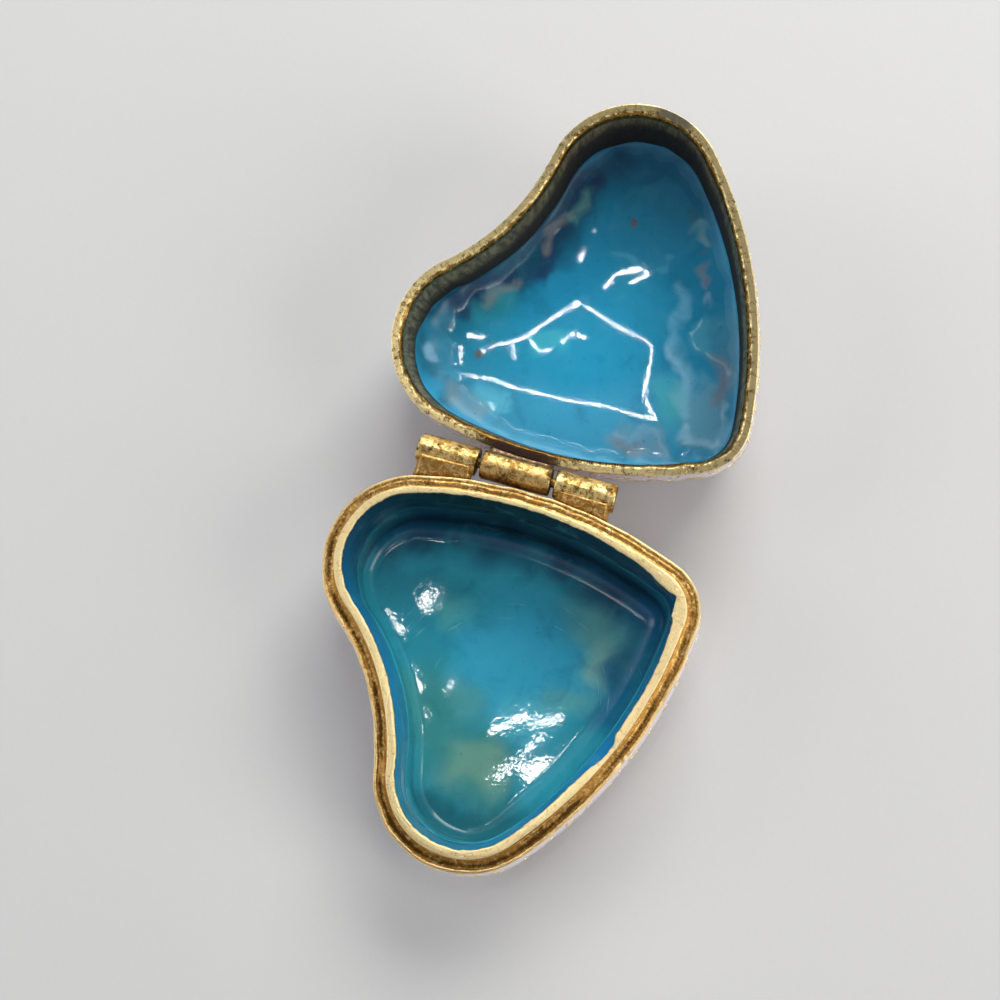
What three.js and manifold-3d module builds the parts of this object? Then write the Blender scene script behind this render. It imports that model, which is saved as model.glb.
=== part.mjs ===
// A small heart-shaped hinged box of gilt brass and enamel, standing open.
// Millimetres, +Z up. The origin is the middle of the base's flat underside,
// +X runs along the hinge and +Y points from the base towards the opened lid.

import * as THREE from 'three';
import { mergeVertices } from 'three/addons/utils/BufferGeometryUtils.js';
import Module from 'manifold-3d';

const wasm = await Module();
wasm.setup();

// Heart outline: a tip arc, two long side arcs, two lobes and a shallow cleft
const tipRadius = 5.55;
const lobeRadius = 9.1;
const sideRadius = 44.5;
const cleftRadius = 22.4;
const tipCentreX = 12.0;
const lobeCentreX = -8.6;
const lobeCentreY = 10.6;
const tipTurn = THREE.MathUtils.degToRad(31.8);
const tipSteps = 4;
const sideSteps = 5;
const lobeSteps = 12;
const cleftSteps = 4;

// Coats of enamel over the metal
const enamelThickness = 0.45;
const fitGap = 0.03;

// Base: from the table up to the ledge that the lid closes on
const baseHeight = 11.2;
const ledgeDepth = 0.15;
const bandHeight = 1.1;
const footHeight = 0.6;
const footInset = 1.9;
const baseBulge = 0.85;
const tuckCurve = 2.2;
const bulgeSkew = 1.2;
const bulgeStart = 0.3;
const bandInset = 0.15;
const rimFlat = 0.42;
const channelStart = 0.55;
const baseWallInset = 2.2;
const baseFloor = 1.0;
const baseFloorInset = 3.9;
const cornerTop = 3.4;
const cornerInset = 2.7;
const cornerZ = 2.0;
const liningInset = 2.6;
const liningFloor = 1.3;

// The lining's rounded foot: how far each step stands inside its wall, and how high
const liningFoot = [[0.05, 4.4], [0.35, 2.6], [1.05, 1.7], [2.1, liningFloor]];

// Lip that the lid drops over
const lipOuterInset = 1.4;
const lipInnerInset = 2.5;
const lipHeight = 1.0;

// Lid, drawn closed, measured up from its rim
const lidHeight = 11.35;
const lidGap = 0.05;
const lidWall = 1.15;
const lidWallFoot = 1.25;
const lidBand = 0.9;
const lidBulge = 0.6;
const shoulderRadius = 1.6;
const lidDome = 0.25;
const domeShare = 0.55;
const lidFloor = 10.45;
const lidLiningFloor = 10.1;
const lidLiningClimb = 0.5;
const rimChamfer = 0.12;

// The lid lining's edge: inset of each step, and how far it has climbed
const lidLiningEdge = [[3.2, 0], [1.9, 0.12]];

// Hinge on one long side
const hingeStandOff = 1.65;
const hingeDrop = 0.5;
const hingeMiddleX = -5.6;
const barrelRadius = 1.5;
const barrelRound = 0.22;
const barrelSides = 24;
const pinRadius = 0.5;
const pinRound = 0.1;
const pinSides = 14;
const boreRadius = 0.57;
const boreRound = 0.05;
const boreOverrun = 1;
const lidKnuckleLength = 7.3;
const baseKnuckleLength = 6.3;
const knuckleGap = 0.38;
const openAngle = THREE.MathUtils.degToRad(165);

// Sections of the soldered webs as [y, z] from the hinge's axis. Their far ends reach
// into the box, and are cut off a little outside its outline.
const baseWeb = [[-0.9, 1.15], [-1.5, 0.46], [-5.2, 0.46], [-5.2, -0.52], [-1.2, -0.75], [0, -0.6], [0, 0.6]];
const lidWeb = [[-0.4, 1.45], [-5.2, 1.4], [-5.2, 0.62], [-1.35, 0.62], [0, -0.2]];
const webGap = 0.05;

// Share of the domed top's rise that its widest step has reached
const crownShare = 0.8;

// Shares of a softened end's rounding that are cut off half way round it
const roundShare = 0.3;

const gilt = new THREE.MeshStandardMaterial({ color: 0xc99a3c, roughness: 0.35, metalness: 1 });
const wornGilt = new THREE.MeshStandardMaterial({ color: 0xd9b25a, roughness: 0.4, metalness: 1 });
const brownGilt = new THREE.MeshStandardMaterial({ color: 0x9c7431, roughness: 0.5, metalness: 1 });
const darkBrass = new THREE.MeshStandardMaterial({ color: 0x6b5a34, roughness: 0.5, metalness: 1 });
const tealEnamel = new THREE.MeshStandardMaterial({ color: 0x1c7a95, roughness: 0.12, metalness: 0 });
const blueEnamel = new THREE.MeshStandardMaterial({ color: 0x2a88ab, roughness: 0.12, metalness: 0 });
const paleEnamel = new THREE.MeshStandardMaterial({ color: 0xcfc4cf, roughness: 0.15, metalness: 0 });

// Points of an arc from one angle to another, without its last point
function arc(centre, radius, from, to, steps) {
  const points = [];
  for (let i = 0; i < steps; i += 1) {
    const angle = from + ((to - from) * i) / steps;
    points.push(new THREE.Vector2(centre.x + radius * Math.cos(angle), centre.y + radius * Math.sin(angle)));
  }
  return points;
}

// The heart, drawn the given distance inside its true outline and turned to its place.
// Its arcs meet in tangents, so an inset only changes their radii.
function heartOutline(inset) {
  const tip = new THREE.Vector2(tipCentreX, 0);
  const lobe = new THREE.Vector2(lobeCentreX, lobeCentreY);
  const span = lobe.clone().sub(tip);
  const along = span.clone().normalize();
  const across = new THREE.Vector2(along.y, -along.x);
  const fromTip = sideRadius - tipRadius;
  const fromLobe = sideRadius - lobeRadius;
  const foot = (fromTip ** 2 - fromLobe ** 2 + span.lengthSq()) / (2 * span.length());
  const away = Math.sqrt(fromTip ** 2 - foot ** 2) * (across.y > 0 ? -1 : 1);
  const side = tip.clone().addScaledVector(along, foot).addScaledVector(across, away);
  const reach = Math.sqrt((cleftRadius + lobeRadius) ** 2 - lobeCentreY ** 2);
  const cleft = new THREE.Vector2(lobeCentreX - reach, 0);

  const tipEnd = tip.clone().sub(side).angle();
  const sideEnd = lobe.clone().sub(side).angle();
  const lobeEnd = cleft.clone().sub(lobe).angle();
  const cleftStart = lobe.clone().sub(cleft).angle();
  const upper = [
    ...arc(tip, tipRadius - inset, 0, tipEnd, tipSteps),
    ...arc(side, sideRadius - inset, tipEnd, sideEnd, sideSteps),
    ...arc(lobe, lobeRadius - inset, sideEnd, lobeEnd, lobeSteps),
    ...arc(cleft, cleftRadius + inset, cleftStart, 0, cleftSteps),
    new THREE.Vector2(cleft.x + cleftRadius + inset, 0),
  ];
  const lower = upper.slice(1, -1).reverse().map((p) => new THREE.Vector2(p.x, -p.y));
  const origin = new THREE.Vector2();
  return [...upper, ...lower].map((p) => p.rotateAround(origin, tipTurn));
}

// One step of a profile: how far inside the outline, how high, and how much drawn in to the middle
function step(inset, z, share = 1) {
  return { inset, z, share };
}

// Carries a profile of steps round the heart. An open profile is closed by a point in the
// middle at each end, and a closed one makes a ring. The profile runs anticlockwise seen
// with the inset growing to the left, so that the faces point out.
function carryRound(steps, ring = false) {
  const rows = steps.map(({ inset, z, share }) =>
    heartOutline(inset).map((p) => new THREE.Vector3(p.x * share, p.y * share, z)));
  const count = rows[0].length;
  const positions = rows.flat().flatMap((p) => [p.x, p.y, p.z]);
  const index = [];
  const joins = ring ? rows.length : rows.length - 1;
  for (let row = 0; row < joins; row += 1) {
    const next = (row + 1) % rows.length;
    for (let i = 0; i < count; i += 1) {
      const j = (i + 1) % count;
      index.push(row * count + i, row * count + j, next * count + j);
      index.push(row * count + i, next * count + j, next * count + i);
    }
  }
  if (!ring) {
    const last = rows.length - 1;
    const firstMiddle = rows.length * count;
    positions.push(0, 0, steps[0].z, 0, 0, steps[last].z);
    for (let i = 0; i < count; i += 1) {
      const j = (i + 1) % count;
      index.push(firstMiddle, j, i);
      index.push(firstMiddle + 1, last * count + i, last * count + j);
    }
  }
  const geometry = new THREE.BufferGeometry();
  geometry.setAttribute('position', new THREE.Float32BufferAttribute(positions, 3));
  geometry.setIndex(index);
  return geometry;
}

// A geometry as a solid that can be joined and cut
function toSolid(geometry) {
  const bare = geometry.clone();
  bare.deleteAttribute('normal');
  bare.deleteAttribute('uv');
  const merged = mergeVertices(bare, 1e-4);
  const mesh = new wasm.Mesh({
    numProp: 3,
    vertProperties: new Float32Array(merged.attributes.position.array),
    triVerts: new Uint32Array(merged.index.array),
  });
  return new wasm.Manifold(mesh);
}

// A solid back as a geometry
function toGeometry(solid) {
  const mesh = solid.getMesh();
  const geometry = new THREE.BufferGeometry();
  geometry.setAttribute('position', new THREE.Float32BufferAttribute(mesh.vertProperties, 3));
  geometry.setIndex(Array.from(mesh.triVerts));
  return geometry;
}

// Inset of the base's enamelled side at a share of its height: the foot tucks in,
// the middle swells and the top meets the gilt band
function baseSideInset(share) {
  const tuck = footInset * (1 - share) ** tuckCurve;
  const bulge = baseBulge * Math.sin(Math.PI * share ** bulgeSkew) * share ** bulgeStart;
  return tuck + bandInset * share - bulge;
}

// Steps up the base's enamelled side, drawn in by the given depth
function baseSide(depth, trim = 0) {
  const bottom = footHeight + trim;
  const top = baseHeight - bandHeight - trim;
  const shares = [0, 0.15, 0.38, 0.62, 0.84, 1];
  return shares.map((share) => step(baseSideInset(share) + depth, bottom + (top - bottom) * share));
}

// Steps up the lid's enamelled side and round its shoulder, drawn in by the given depth
function lidSide(rimZ, depth, trim = 0) {
  const bottom = lidBand + trim;
  const top = lidHeight - shoulderRadius;
  const sides = [0, 0.2, 0.45, 0.7, 0.9].map((share) =>
    step(bandInset * (1 - share) - lidBulge * Math.sin(Math.PI * share) + depth,
      rimZ + bottom + (top - bottom) * share));
  const shoulders = [0, 0.33, 0.67, 1].map((share) => {
    const angle = (share * Math.PI) / 2;
    return step(shoulderRadius - (shoulderRadius - depth) * Math.cos(angle),
      rimZ + top + (shoulderRadius - depth) * Math.sin(angle));
  });
  const crown = step(shoulderRadius, rimZ + lidHeight + lidDome * crownShare - depth, domeShare);
  return [...sides, ...shoulders, crown];
}

function baseBody() {
  const ledge = baseHeight - ledgeDepth;
  return carryRound([
    step(footInset, 0),
    step(footInset, footHeight),
    ...baseSide(enamelThickness),
    step(0, baseHeight - bandHeight),
    step(0, baseHeight - rimChamfer),
    step(rimChamfer, baseHeight),
    step(rimFlat, baseHeight),
    step(channelStart, ledge),
    step(baseWallInset, ledge),
    step(baseWallInset, cornerTop),
    step(cornerInset, cornerZ),
    step(baseFloorInset, baseFloor),
  ]);
}

function baseEnamel() {
  const outer = baseSide(0, fitGap);
  const inner = baseSide(enamelThickness - fitGap, fitGap).reverse();
  return carryRound([...outer, ...inner], true);
}

function baseLip() {
  const foot = baseHeight - ledgeDepth + fitGap;
  const top = baseHeight + lipHeight;
  return carryRound([
    step(lipOuterInset, foot),
    step(lipOuterInset, top - rimChamfer),
    step(lipOuterInset + rimChamfer, top),
    step(lipInnerInset - rimChamfer, top),
    step(lipInnerInset, top - rimChamfer),
    step(lipInnerInset, foot),
  ], true);
}

function baseLining() {
  const top = baseHeight - ledgeDepth - fitGap;
  return carryRound([
    step(baseFloorInset + fitGap, baseFloor + fitGap),
    step(cornerInset + fitGap, cornerZ + fitGap),
    step(baseWallInset + fitGap, cornerTop),
    step(baseWallInset + fitGap, top),
    step(liningInset, top),
    ...liningFoot.map(([depth, z]) => step(liningInset + depth, z)),
  ]);
}

function lidBody(rimZ) {
  return carryRound([
    step(lidWallFoot, rimZ + lidFloor),
    step(lidWall, rimZ + rimChamfer),
    step(lidWall - rimChamfer, rimZ),
    step(rimChamfer, rimZ),
    step(0, rimZ + rimChamfer),
    step(0, rimZ + lidBand),
    ...lidSide(rimZ, enamelThickness),
  ]);
}

function lidEnamel(rimZ) {
  const outer = lidSide(rimZ, 0, fitGap);
  const inner = lidSide(rimZ, enamelThickness - fitGap, fitGap).reverse();
  return carryRound([...inner, ...outer]);
}

function lidLining(rimZ) {
  return carryRound([
    ...lidLiningEdge.map(([inset, climb]) => step(inset, rimZ + lidLiningFloor - climb)),
    step(lidWallFoot + fitGap, rimZ + lidLiningFloor - lidLiningClimb),
    step(lidWallFoot + fitGap, rimZ + lidFloor - fitGap),
  ]);
}

// A round bar along X with softened ends, from x = 0 to its length
function roundBar(radius, length, round, sides = barrelSides) {
  const profile = [
    new THREE.Vector2(0, 0),
    new THREE.Vector2(radius - round, 0),
    new THREE.Vector2(radius - round * roundShare, round * roundShare),
    new THREE.Vector2(radius, round),
    new THREE.Vector2(radius, length - round),
    new THREE.Vector2(radius - round * roundShare, length - round * roundShare),
    new THREE.Vector2(radius - round, length),
    new THREE.Vector2(0, length),
  ];
  return new THREE.LatheGeometry(profile, sides).rotateZ(-Math.PI / 2);
}

// A bar along X with a many-sided section given as [y, z] points, from x = 0 to its length
function sectionBar(section, length) {
  const shape = new THREE.Shape(section.map(([y, z]) => new THREE.Vector2(-z, y)));
  const bar = new THREE.ExtrudeGeometry(shape, { depth: length, bevelEnabled: false });
  return bar.rotateY(Math.PI / 2);
}

// Where the hinge pin runs
function hingeAxis() {
  const outermost = Math.max(...heartOutline(0).map((p) => p.y));
  return { y: outermost + hingeStandOff, z: baseHeight - hingeDrop };
}

// A knuckle: a bored barrel with a soldered web that is cut to the heart's outline
function knuckle(startX, length, webSection) {
  const axis = hingeAxis();
  const place = (geometry) => toSolid(geometry.translate(startX, axis.y, axis.z));
  const barrel = place(roundBar(barrelRadius, length, barrelRound));
  const web = place(sectionBar(webSection, length - 2 * barrelRound).translate(barrelRound, 0, 0));
  const boreLength = length + 2 * boreOverrun;
  const bore = place(roundBar(boreRadius, boreLength, boreRound).translate(-boreOverrun, 0, 0));
  const box = toSolid(carryRound([step(-webGap, -1), step(-webGap, baseHeight + lidHeight)]));
  return toGeometry(barrel.add(web).subtract(box).subtract(bore));
}

const object = new THREE.Group();
const axis = hingeAxis();
const lidRim = baseHeight + lidGap;
const middleStart = hingeMiddleX - lidKnuckleLength / 2;
const leftStart = middleStart - knuckleGap - baseKnuckleLength;
const rightStart = middleStart + lidKnuckleLength + knuckleGap;
const pinLength = rightStart + baseKnuckleLength - leftStart;

function addPiece(group, name, geometry, material) {
  const piece = new THREE.Mesh(geometry, material);
  piece.name = name;
  group.add(piece);
}

const base = new THREE.Group();
addPiece(base, 'base_body', baseBody(), gilt);
addPiece(base, 'base_enamel', baseEnamel(), paleEnamel);
addPiece(base, 'base_lip', baseLip(), wornGilt);
addPiece(base, 'base_lining', baseLining(), tealEnamel);
addPiece(base, 'knuckle_left', knuckle(leftStart, baseKnuckleLength, baseWeb), wornGilt);
addPiece(base, 'knuckle_right', knuckle(rightStart, baseKnuckleLength, baseWeb), wornGilt);
const pin = roundBar(pinRadius, pinLength, pinRound, pinSides);
addPiece(base, 'hinge_pin', pin.translate(leftStart, axis.y, axis.z), darkBrass);
object.add(base);

// The lid is drawn closed and swung back about the pin to where it stands open
const lidSwing = new THREE.Group();
lidSwing.position.set(0, axis.y, axis.z);
lidSwing.rotation.x = -openAngle;
const lid = new THREE.Group();
lid.position.set(0, -axis.y, -axis.z);
addPiece(lid, 'lid_body', lidBody(lidRim), gilt);
addPiece(lid, 'lid_enamel', lidEnamel(lidRim), paleEnamel);
addPiece(lid, 'lid_lining', lidLining(lidRim), blueEnamel);
addPiece(lid, 'lid_knuckle', knuckle(middleStart, lidKnuckleLength, lidWeb), brownGilt);
lidSwing.add(lid);
object.add(lidSwing);

export default object;
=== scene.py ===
# %% [markdown]
# # A heart-shaped enamel box, standing open
# The real object is a handmade pill box about 39 mm across: a gilt brass base and lid, fired blue
# enamel inside, pale enamel with gilt wires outside, and a three-barrel hinge on one long side.
# Nearly every piece follows the same heart outline, so one outline function carries them all.

# %% Load the frame
import math

import bpy
import numpy as np
from mathutils import Matrix, Quaternion, Vector


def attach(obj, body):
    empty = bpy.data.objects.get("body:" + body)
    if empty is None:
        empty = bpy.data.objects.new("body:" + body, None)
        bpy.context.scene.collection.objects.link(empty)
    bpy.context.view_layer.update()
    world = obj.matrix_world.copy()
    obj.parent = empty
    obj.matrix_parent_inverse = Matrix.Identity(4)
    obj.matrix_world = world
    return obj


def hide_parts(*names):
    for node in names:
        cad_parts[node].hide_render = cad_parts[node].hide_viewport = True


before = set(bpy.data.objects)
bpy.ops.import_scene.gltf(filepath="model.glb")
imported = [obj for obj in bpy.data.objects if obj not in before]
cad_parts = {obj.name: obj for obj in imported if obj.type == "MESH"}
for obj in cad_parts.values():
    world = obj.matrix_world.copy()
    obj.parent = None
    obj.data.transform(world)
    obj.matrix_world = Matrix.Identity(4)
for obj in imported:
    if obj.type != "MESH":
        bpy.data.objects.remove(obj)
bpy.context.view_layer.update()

MM = 0.001
print("nodes:", ", ".join(sorted(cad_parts)))

# %% [markdown]
# ## Sizes
# All lengths below are in millimetres and are turned into metres when a mesh is made. An inset is a
# distance inside the heart's outer outline, and a height is measured up from the table.

# %% Heart and shell sizes
TIP_RADIUS = 5.55
LOBE_RADIUS = 9.1
SIDE_RADIUS = 44.5
CLEFT_RADIUS = 22.4
TIP_X = 12.0
LOBE_X = -8.6
LOBE_Y = 10.6
TIP_TURN = math.radians(31.8)

LEDGE = 11.2
CHANNEL = 11.02
LIP_TOP = 12.2
BAND = 1.1
FOOT = 0.6
FOOT_INSET = 1.9
COAT = 0.45
LINING_INSET = 2.6
LINING_FLOOR = 1.3

LID_RIM = LEDGE + 0.05
LID_HEIGHT = 11.35
LID_WALL = 1.15
LID_BAND = 0.9
LID_FLOOR = 10.1
SHOULDER = 1.6

AXIS_Y = 16.3
AXIS_Z = 10.7
BARREL = 1.5
BORE = 0.57
OPEN_ANGLE = math.radians(165)

# %% [markdown]
# ## The heart outline
# The outline is made of circle arcs that meet in tangents: a small tip, two long sides, two lobes
# and a shallow cleft. Moving every point along its own outward direction gives a parallel outline,
# so a profile of insets and heights can be carried round it like a moulding.

# %% Outline of the heart
ARC_POINTS = 600


def turned(points, angle):
    """Points turned about the origin: x cos - y sin, x sin + y cos."""
    c, s = math.cos(angle), math.sin(angle)
    return points @ np.array([[c, s], [-s, c]])


def arc(centre, radius, start, end, sense):
    """A circle's points from one angle to another, and the directions that point off the heart."""
    angle = np.linspace(start, end, ARC_POINTS)
    unit = np.stack([np.cos(angle), np.sin(angle)], axis=1)
    return centre + radius * unit, sense * unit


def angle_of(vector):
    """The angle of a plane vector from the x axis, from 0 to a full turn."""
    return math.atan2(vector[1], vector[0]) % (2 * math.pi)


def heart(count):
    """Evenly spaced outline points, outward directions and distances along it, from the tip round."""
    tip = np.array([TIP_X, 0.0])
    lobe = np.array([LOBE_X, LOBE_Y])
    span = lobe - tip
    length = np.linalg.norm(span)
    along = span / length
    inward = np.array([along[1], -along[0]])
    if inward[1] > 0:
        inward = -inward
    from_tip = SIDE_RADIUS - TIP_RADIUS
    from_lobe = SIDE_RADIUS - LOBE_RADIUS
    foot = (from_tip ** 2 - from_lobe ** 2 + length ** 2) / (2 * length)
    side = tip + along * foot + inward * math.sqrt(from_tip ** 2 - foot ** 2)
    reach = math.sqrt((CLEFT_RADIUS + LOBE_RADIUS) ** 2 - LOBE_Y ** 2)
    cleft = np.array([LOBE_X - reach, 0.0])
    arcs = [
        arc(tip, TIP_RADIUS, 0.0, angle_of(tip - side), 1),
        arc(side, SIDE_RADIUS, angle_of(tip - side), angle_of(lobe - side), 1),
        arc(lobe, LOBE_RADIUS, angle_of(lobe - side), angle_of(cleft - lobe), 1),
        arc(cleft, CLEFT_RADIUS, angle_of(lobe - cleft), 0.0, -1),
    ]
    mirror = np.array([1.0, -1.0])
    line = np.concatenate([a[0] for a in arcs])
    out = np.concatenate([a[1] for a in arcs])
    line = turned(np.concatenate([line, line[::-1] * mirror]), TIP_TURN)
    out = turned(np.concatenate([out, out[::-1] * mirror]), TIP_TURN)
    distance = np.concatenate([[0.0], np.cumsum(np.linalg.norm(np.diff(line, axis=0), axis=1))])
    even = np.linspace(0.0, distance[-1], count, endpoint=False)
    line = np.stack([np.interp(even, distance, line[:, i]) for i in range(2)], axis=1)
    out = np.stack([np.interp(even, distance, out[:, i]) for i in range(2)], axis=1)
    return line, out / np.linalg.norm(out, axis=1, keepdims=True), even


COLUMNS = 900
LINE, OUT, ALONG = heart(COLUMNS)
GIRTH = ALONG[-1] + ALONG[1]
print(f"the outline is {GIRTH:.1f} mm round and {np.ptp(LINE, axis=0).round(1)} mm across")

# %% [markdown]
# ## The camera
# The photograph looks down on the open box, a little from the base's side and turned. The camera
# comes early because the marks on the enamel are placed by where the photograph shows them: a
# picture position is sent along its ray to the plane that carries the mark.

# %% Camera
EYE = np.array([7.456, -12.826, 130.49])
LOOKS_AT = np.array([-6.727, 13.752, 8.0])
ROLL = math.radians(-11.96)
LENS_MM = 44.21
SENSOR_MM = 36.0
PHOTO_PIXELS = 1000

camera_data = bpy.data.cameras.new("camera")
camera_data.lens = LENS_MM
camera_data.sensor_width = SENSOR_MM
camera_data.clip_start = 0.001
camera = bpy.data.objects.new("camera", camera_data)
bpy.context.scene.collection.objects.link(camera)
aim = Vector(LOOKS_AT - EYE).to_track_quat("-Z", "Y")
camera.rotation_mode = "QUATERNION"
camera.rotation_quaternion = aim @ Quaternion((0.0, 0.0, 1.0), ROLL)
camera.location = Vector(EYE * MM)
bpy.context.scene.camera = camera
print("camera at", [round(v, 3) for v in camera.location])


# %% From the picture to the object
def picture_ray(column, row):
    """Unit direction from the eye through a position in the 1000 by 1000 picture."""
    half = PHOTO_PIXELS / 2
    scale = SENSOR_MM / LENS_MM / PHOTO_PIXELS
    local = Vector(((column - half) * scale, (half - row) * scale, -1.0)).normalized()
    return np.array(camera.rotation_quaternion @ local)


def seen_on(column, row, point, normal):
    """Where the ray of a picture position meets the plane through a point, in millimetres."""
    ray = picture_ray(column, row)
    return EYE + ray * (np.dot(point - EYE, normal) / np.dot(ray, normal))


def swing(points, angle=OPEN_ANGLE):
    """The lid's closed coordinates turned back about the hinge pin."""
    y = points[..., 1] - AXIS_Y
    z = points[..., 2] - AXIS_Z
    c, s = math.cos(angle), math.sin(angle)
    return np.stack([points[..., 0], y * c + z * s + AXIS_Y, z * c - y * s + AXIS_Z], axis=-1)


UP = np.array([0.0, 0.0, 1.0])
LID_UP = np.array([0.0, math.sin(OPEN_ANGLE), math.cos(OPEN_ANGLE)])


def seen_in_base(column, row, height=LINING_FLOOR):
    """A picture position on the base, at a height above the table."""
    return seen_on(column, row, np.array([0.0, 0.0, height]), UP)


def seen_in_lid(column, row, depth=LID_FLOOR):
    """A picture position on the opened lid, at a depth below its rim."""
    return seen_on(column, row, swing(np.array([0.0, 0.0, LID_RIM + depth])), LID_UP)


def along_at(point):
    """The distance along the outline of the place nearest to a point."""
    return ALONG[np.argmin(np.linalg.norm(LINE - point[:2], axis=1))]


def apart(along, place):
    """Signed distance along the closed outline from a place on it."""
    return (along - place + GIRTH / 2) % GIRTH - GIRTH / 2


def hump(distance, width):
    """A smooth bell: exp(-(distance / width)^2)."""
    return np.exp(-(distance / width) ** 2)


# %% [markdown]
# ## Handmade unevenness
# Nothing on the box is machine-true. A smooth random field is a sum of sine waves that run in
# random directions, which gives the same values wherever pieces meet and needs no picture.

# %% Smooth random fields
WAVES = 28


def wander(points, size, seed):
    """Sum of sines of p . k + phase over random directions k, about -1 to 1, with bumps of a size."""
    draw = np.random.default_rng(seed)
    direction = draw.normal(size=(WAVES, points.shape[-1]))
    direction /= np.linalg.norm(direction, axis=1, keepdims=True)
    wave = direction * (2 * math.pi / size) * draw.uniform(0.55, 1.5, size=(WAVES, 1))
    phase = draw.uniform(0, 2 * math.pi, size=WAVES)
    field = np.zeros(points.shape[:-1])
    for k, p in zip(wave, phase):
        field += np.sin(points @ k + p)
    return field * math.sqrt(2 / WAVES) * 0.6


def line_wander(along, size, seed):
    """A random line that closes on itself: the field on a circle as long as the outline."""
    angle = along * 2 * math.pi / GIRTH
    radius = GIRTH / (2 * math.pi)
    return wander(np.stack([np.cos(angle), np.sin(angle)], axis=-1) * radius, size, seed)


# %% [markdown]
# ## Marks laid on the glass
# Fired enamel is full of drifts, streaks and specks. Each is a soft brush stroke along a bent
# line: every mesh point takes the stroke's tone by its distance from the line, after the point
# has been nudged about by a random field so that no edge is straight. The strokes called shade,
# and the one along the lid's left rim, are painted shade by the walls, and one pale round stroke
# in the lid is a painted reflection. The places are read off the photograph and sent down to the
# glass along the camera's rays.

# %% Brush strokes
def paint(code):
    """The linear colour of a #rrggbb code: v / 12.92 below 0.04, else ((v + 0.055) / 1.055)^2.4."""
    values = [int(code[i:i + 2], 16) / 255 for i in (1, 3, 5)]
    light = [v / 12.92 if v <= 0.04045 else ((v + 0.055) / 1.055) ** 2.4 for v in values]
    return (*light, 1.0)


def linear(code):
    """A colour code as a numpy colour."""
    return np.array(paint(code))


def soft_step(values):
    """0 below 0, 1 above 1, and 3 t^2 - 2 t^3 between."""
    t = np.clip(values, 0, 1)
    return t * t * (3 - 2 * t)


def nudged(points, reach, size, seed):
    """Points moved by up to about a reach in every direction by three random fields."""
    push = np.stack([wander(points, size, seed + i) for i in range(3)], axis=-1)
    return points + reach * push


def stroke_distance(points, places):
    """Shortest distance from each point to the bent line through some places."""
    if len(places) == 1:
        return np.linalg.norm(points - places[0], axis=-1)
    best = np.full(points.shape[:-1], np.inf)
    for a, b in zip(places, places[1:]):
        run = b - a
        share = np.clip((points - a) @ run / (run @ run), 0, 1)
        best = np.minimum(best, np.linalg.norm(points - a - share[..., None] * run, axis=-1))
    return best


def brushed(colour, points, seen, strokes):
    """Lays strokes of (picture places, half width, softness, tone, strength) over colours."""
    for places, width, soft, tone, strength in strokes:
        spots = [seen(column, row) for column, row in places]
        near = soft_step((width + soft - stroke_distance(points, spots)) / soft) * strength
        colour = colour * (1 - near[..., None]) + linear(tone) * near[..., None]
    return colour


# %% [markdown]
# ## Meshes from grids
# Each round piece is a grid: rows are steps of the profile and columns run round the heart. The
# columns always close on themselves. A ring closes its rows too, and any other piece ends in a
# point at the middle, so every mesh is a closed shell. A UV map keeps the distance along and
# across the strip, because file marks and brush marks follow the metal.

# %% Grid meshes
MM_IN_CM = 10


def quad_corners(rows, columns, closed_rows, closed_columns):
    """Corner numbers of the quads of a grid, which may close on itself either way."""
    row, column = np.meshgrid(np.arange(rows if closed_rows else rows - 1),
                              np.arange(columns if closed_columns else columns - 1), indexing="ij")
    right = (column + 1) % columns
    below = (row + 1) % rows
    quads = np.stack([row * columns + column, row * columns + right,
                      below * columns + right, below * columns + column], axis=-1)
    return quads.reshape(-1, 4)


def new_object(name, points, corners, starts, uv, fields):
    """An object at the origin with a mesh of the given corners, UVs and point fields."""
    mesh = bpy.data.meshes.new(name)
    mesh.vertices.add(len(points))
    mesh.vertices.foreach_set("co", (points * MM).astype(np.float32).ravel())
    mesh.loops.add(len(corners))
    mesh.loops.foreach_set("vertex_index", corners.astype(np.int32))
    mesh.polygons.add(len(starts))
    mesh.polygons.foreach_set("loop_start", starts.astype(np.int32))
    mesh.update(calc_edges=True)
    mesh.polygons.foreach_set("use_smooth", np.ones(len(starts), dtype=bool))
    layer = mesh.uv_layers.new(name="strip")
    layer.data.foreach_set("uv", uv.astype(np.float32).ravel())
    for field, values in fields.items():
        kind = "FLOAT_COLOR" if np.ndim(values) == 2 else "FLOAT"
        store = mesh.attributes.new(name=field, type=kind, domain="POINT")
        store.data.foreach_set("color" if kind == "FLOAT_COLOR" else "value",
                               np.asarray(values, dtype=np.float32).ravel())
    piece = bpy.data.objects.new(name, mesh)
    bpy.context.scene.collection.objects.link(piece)
    return piece


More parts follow.
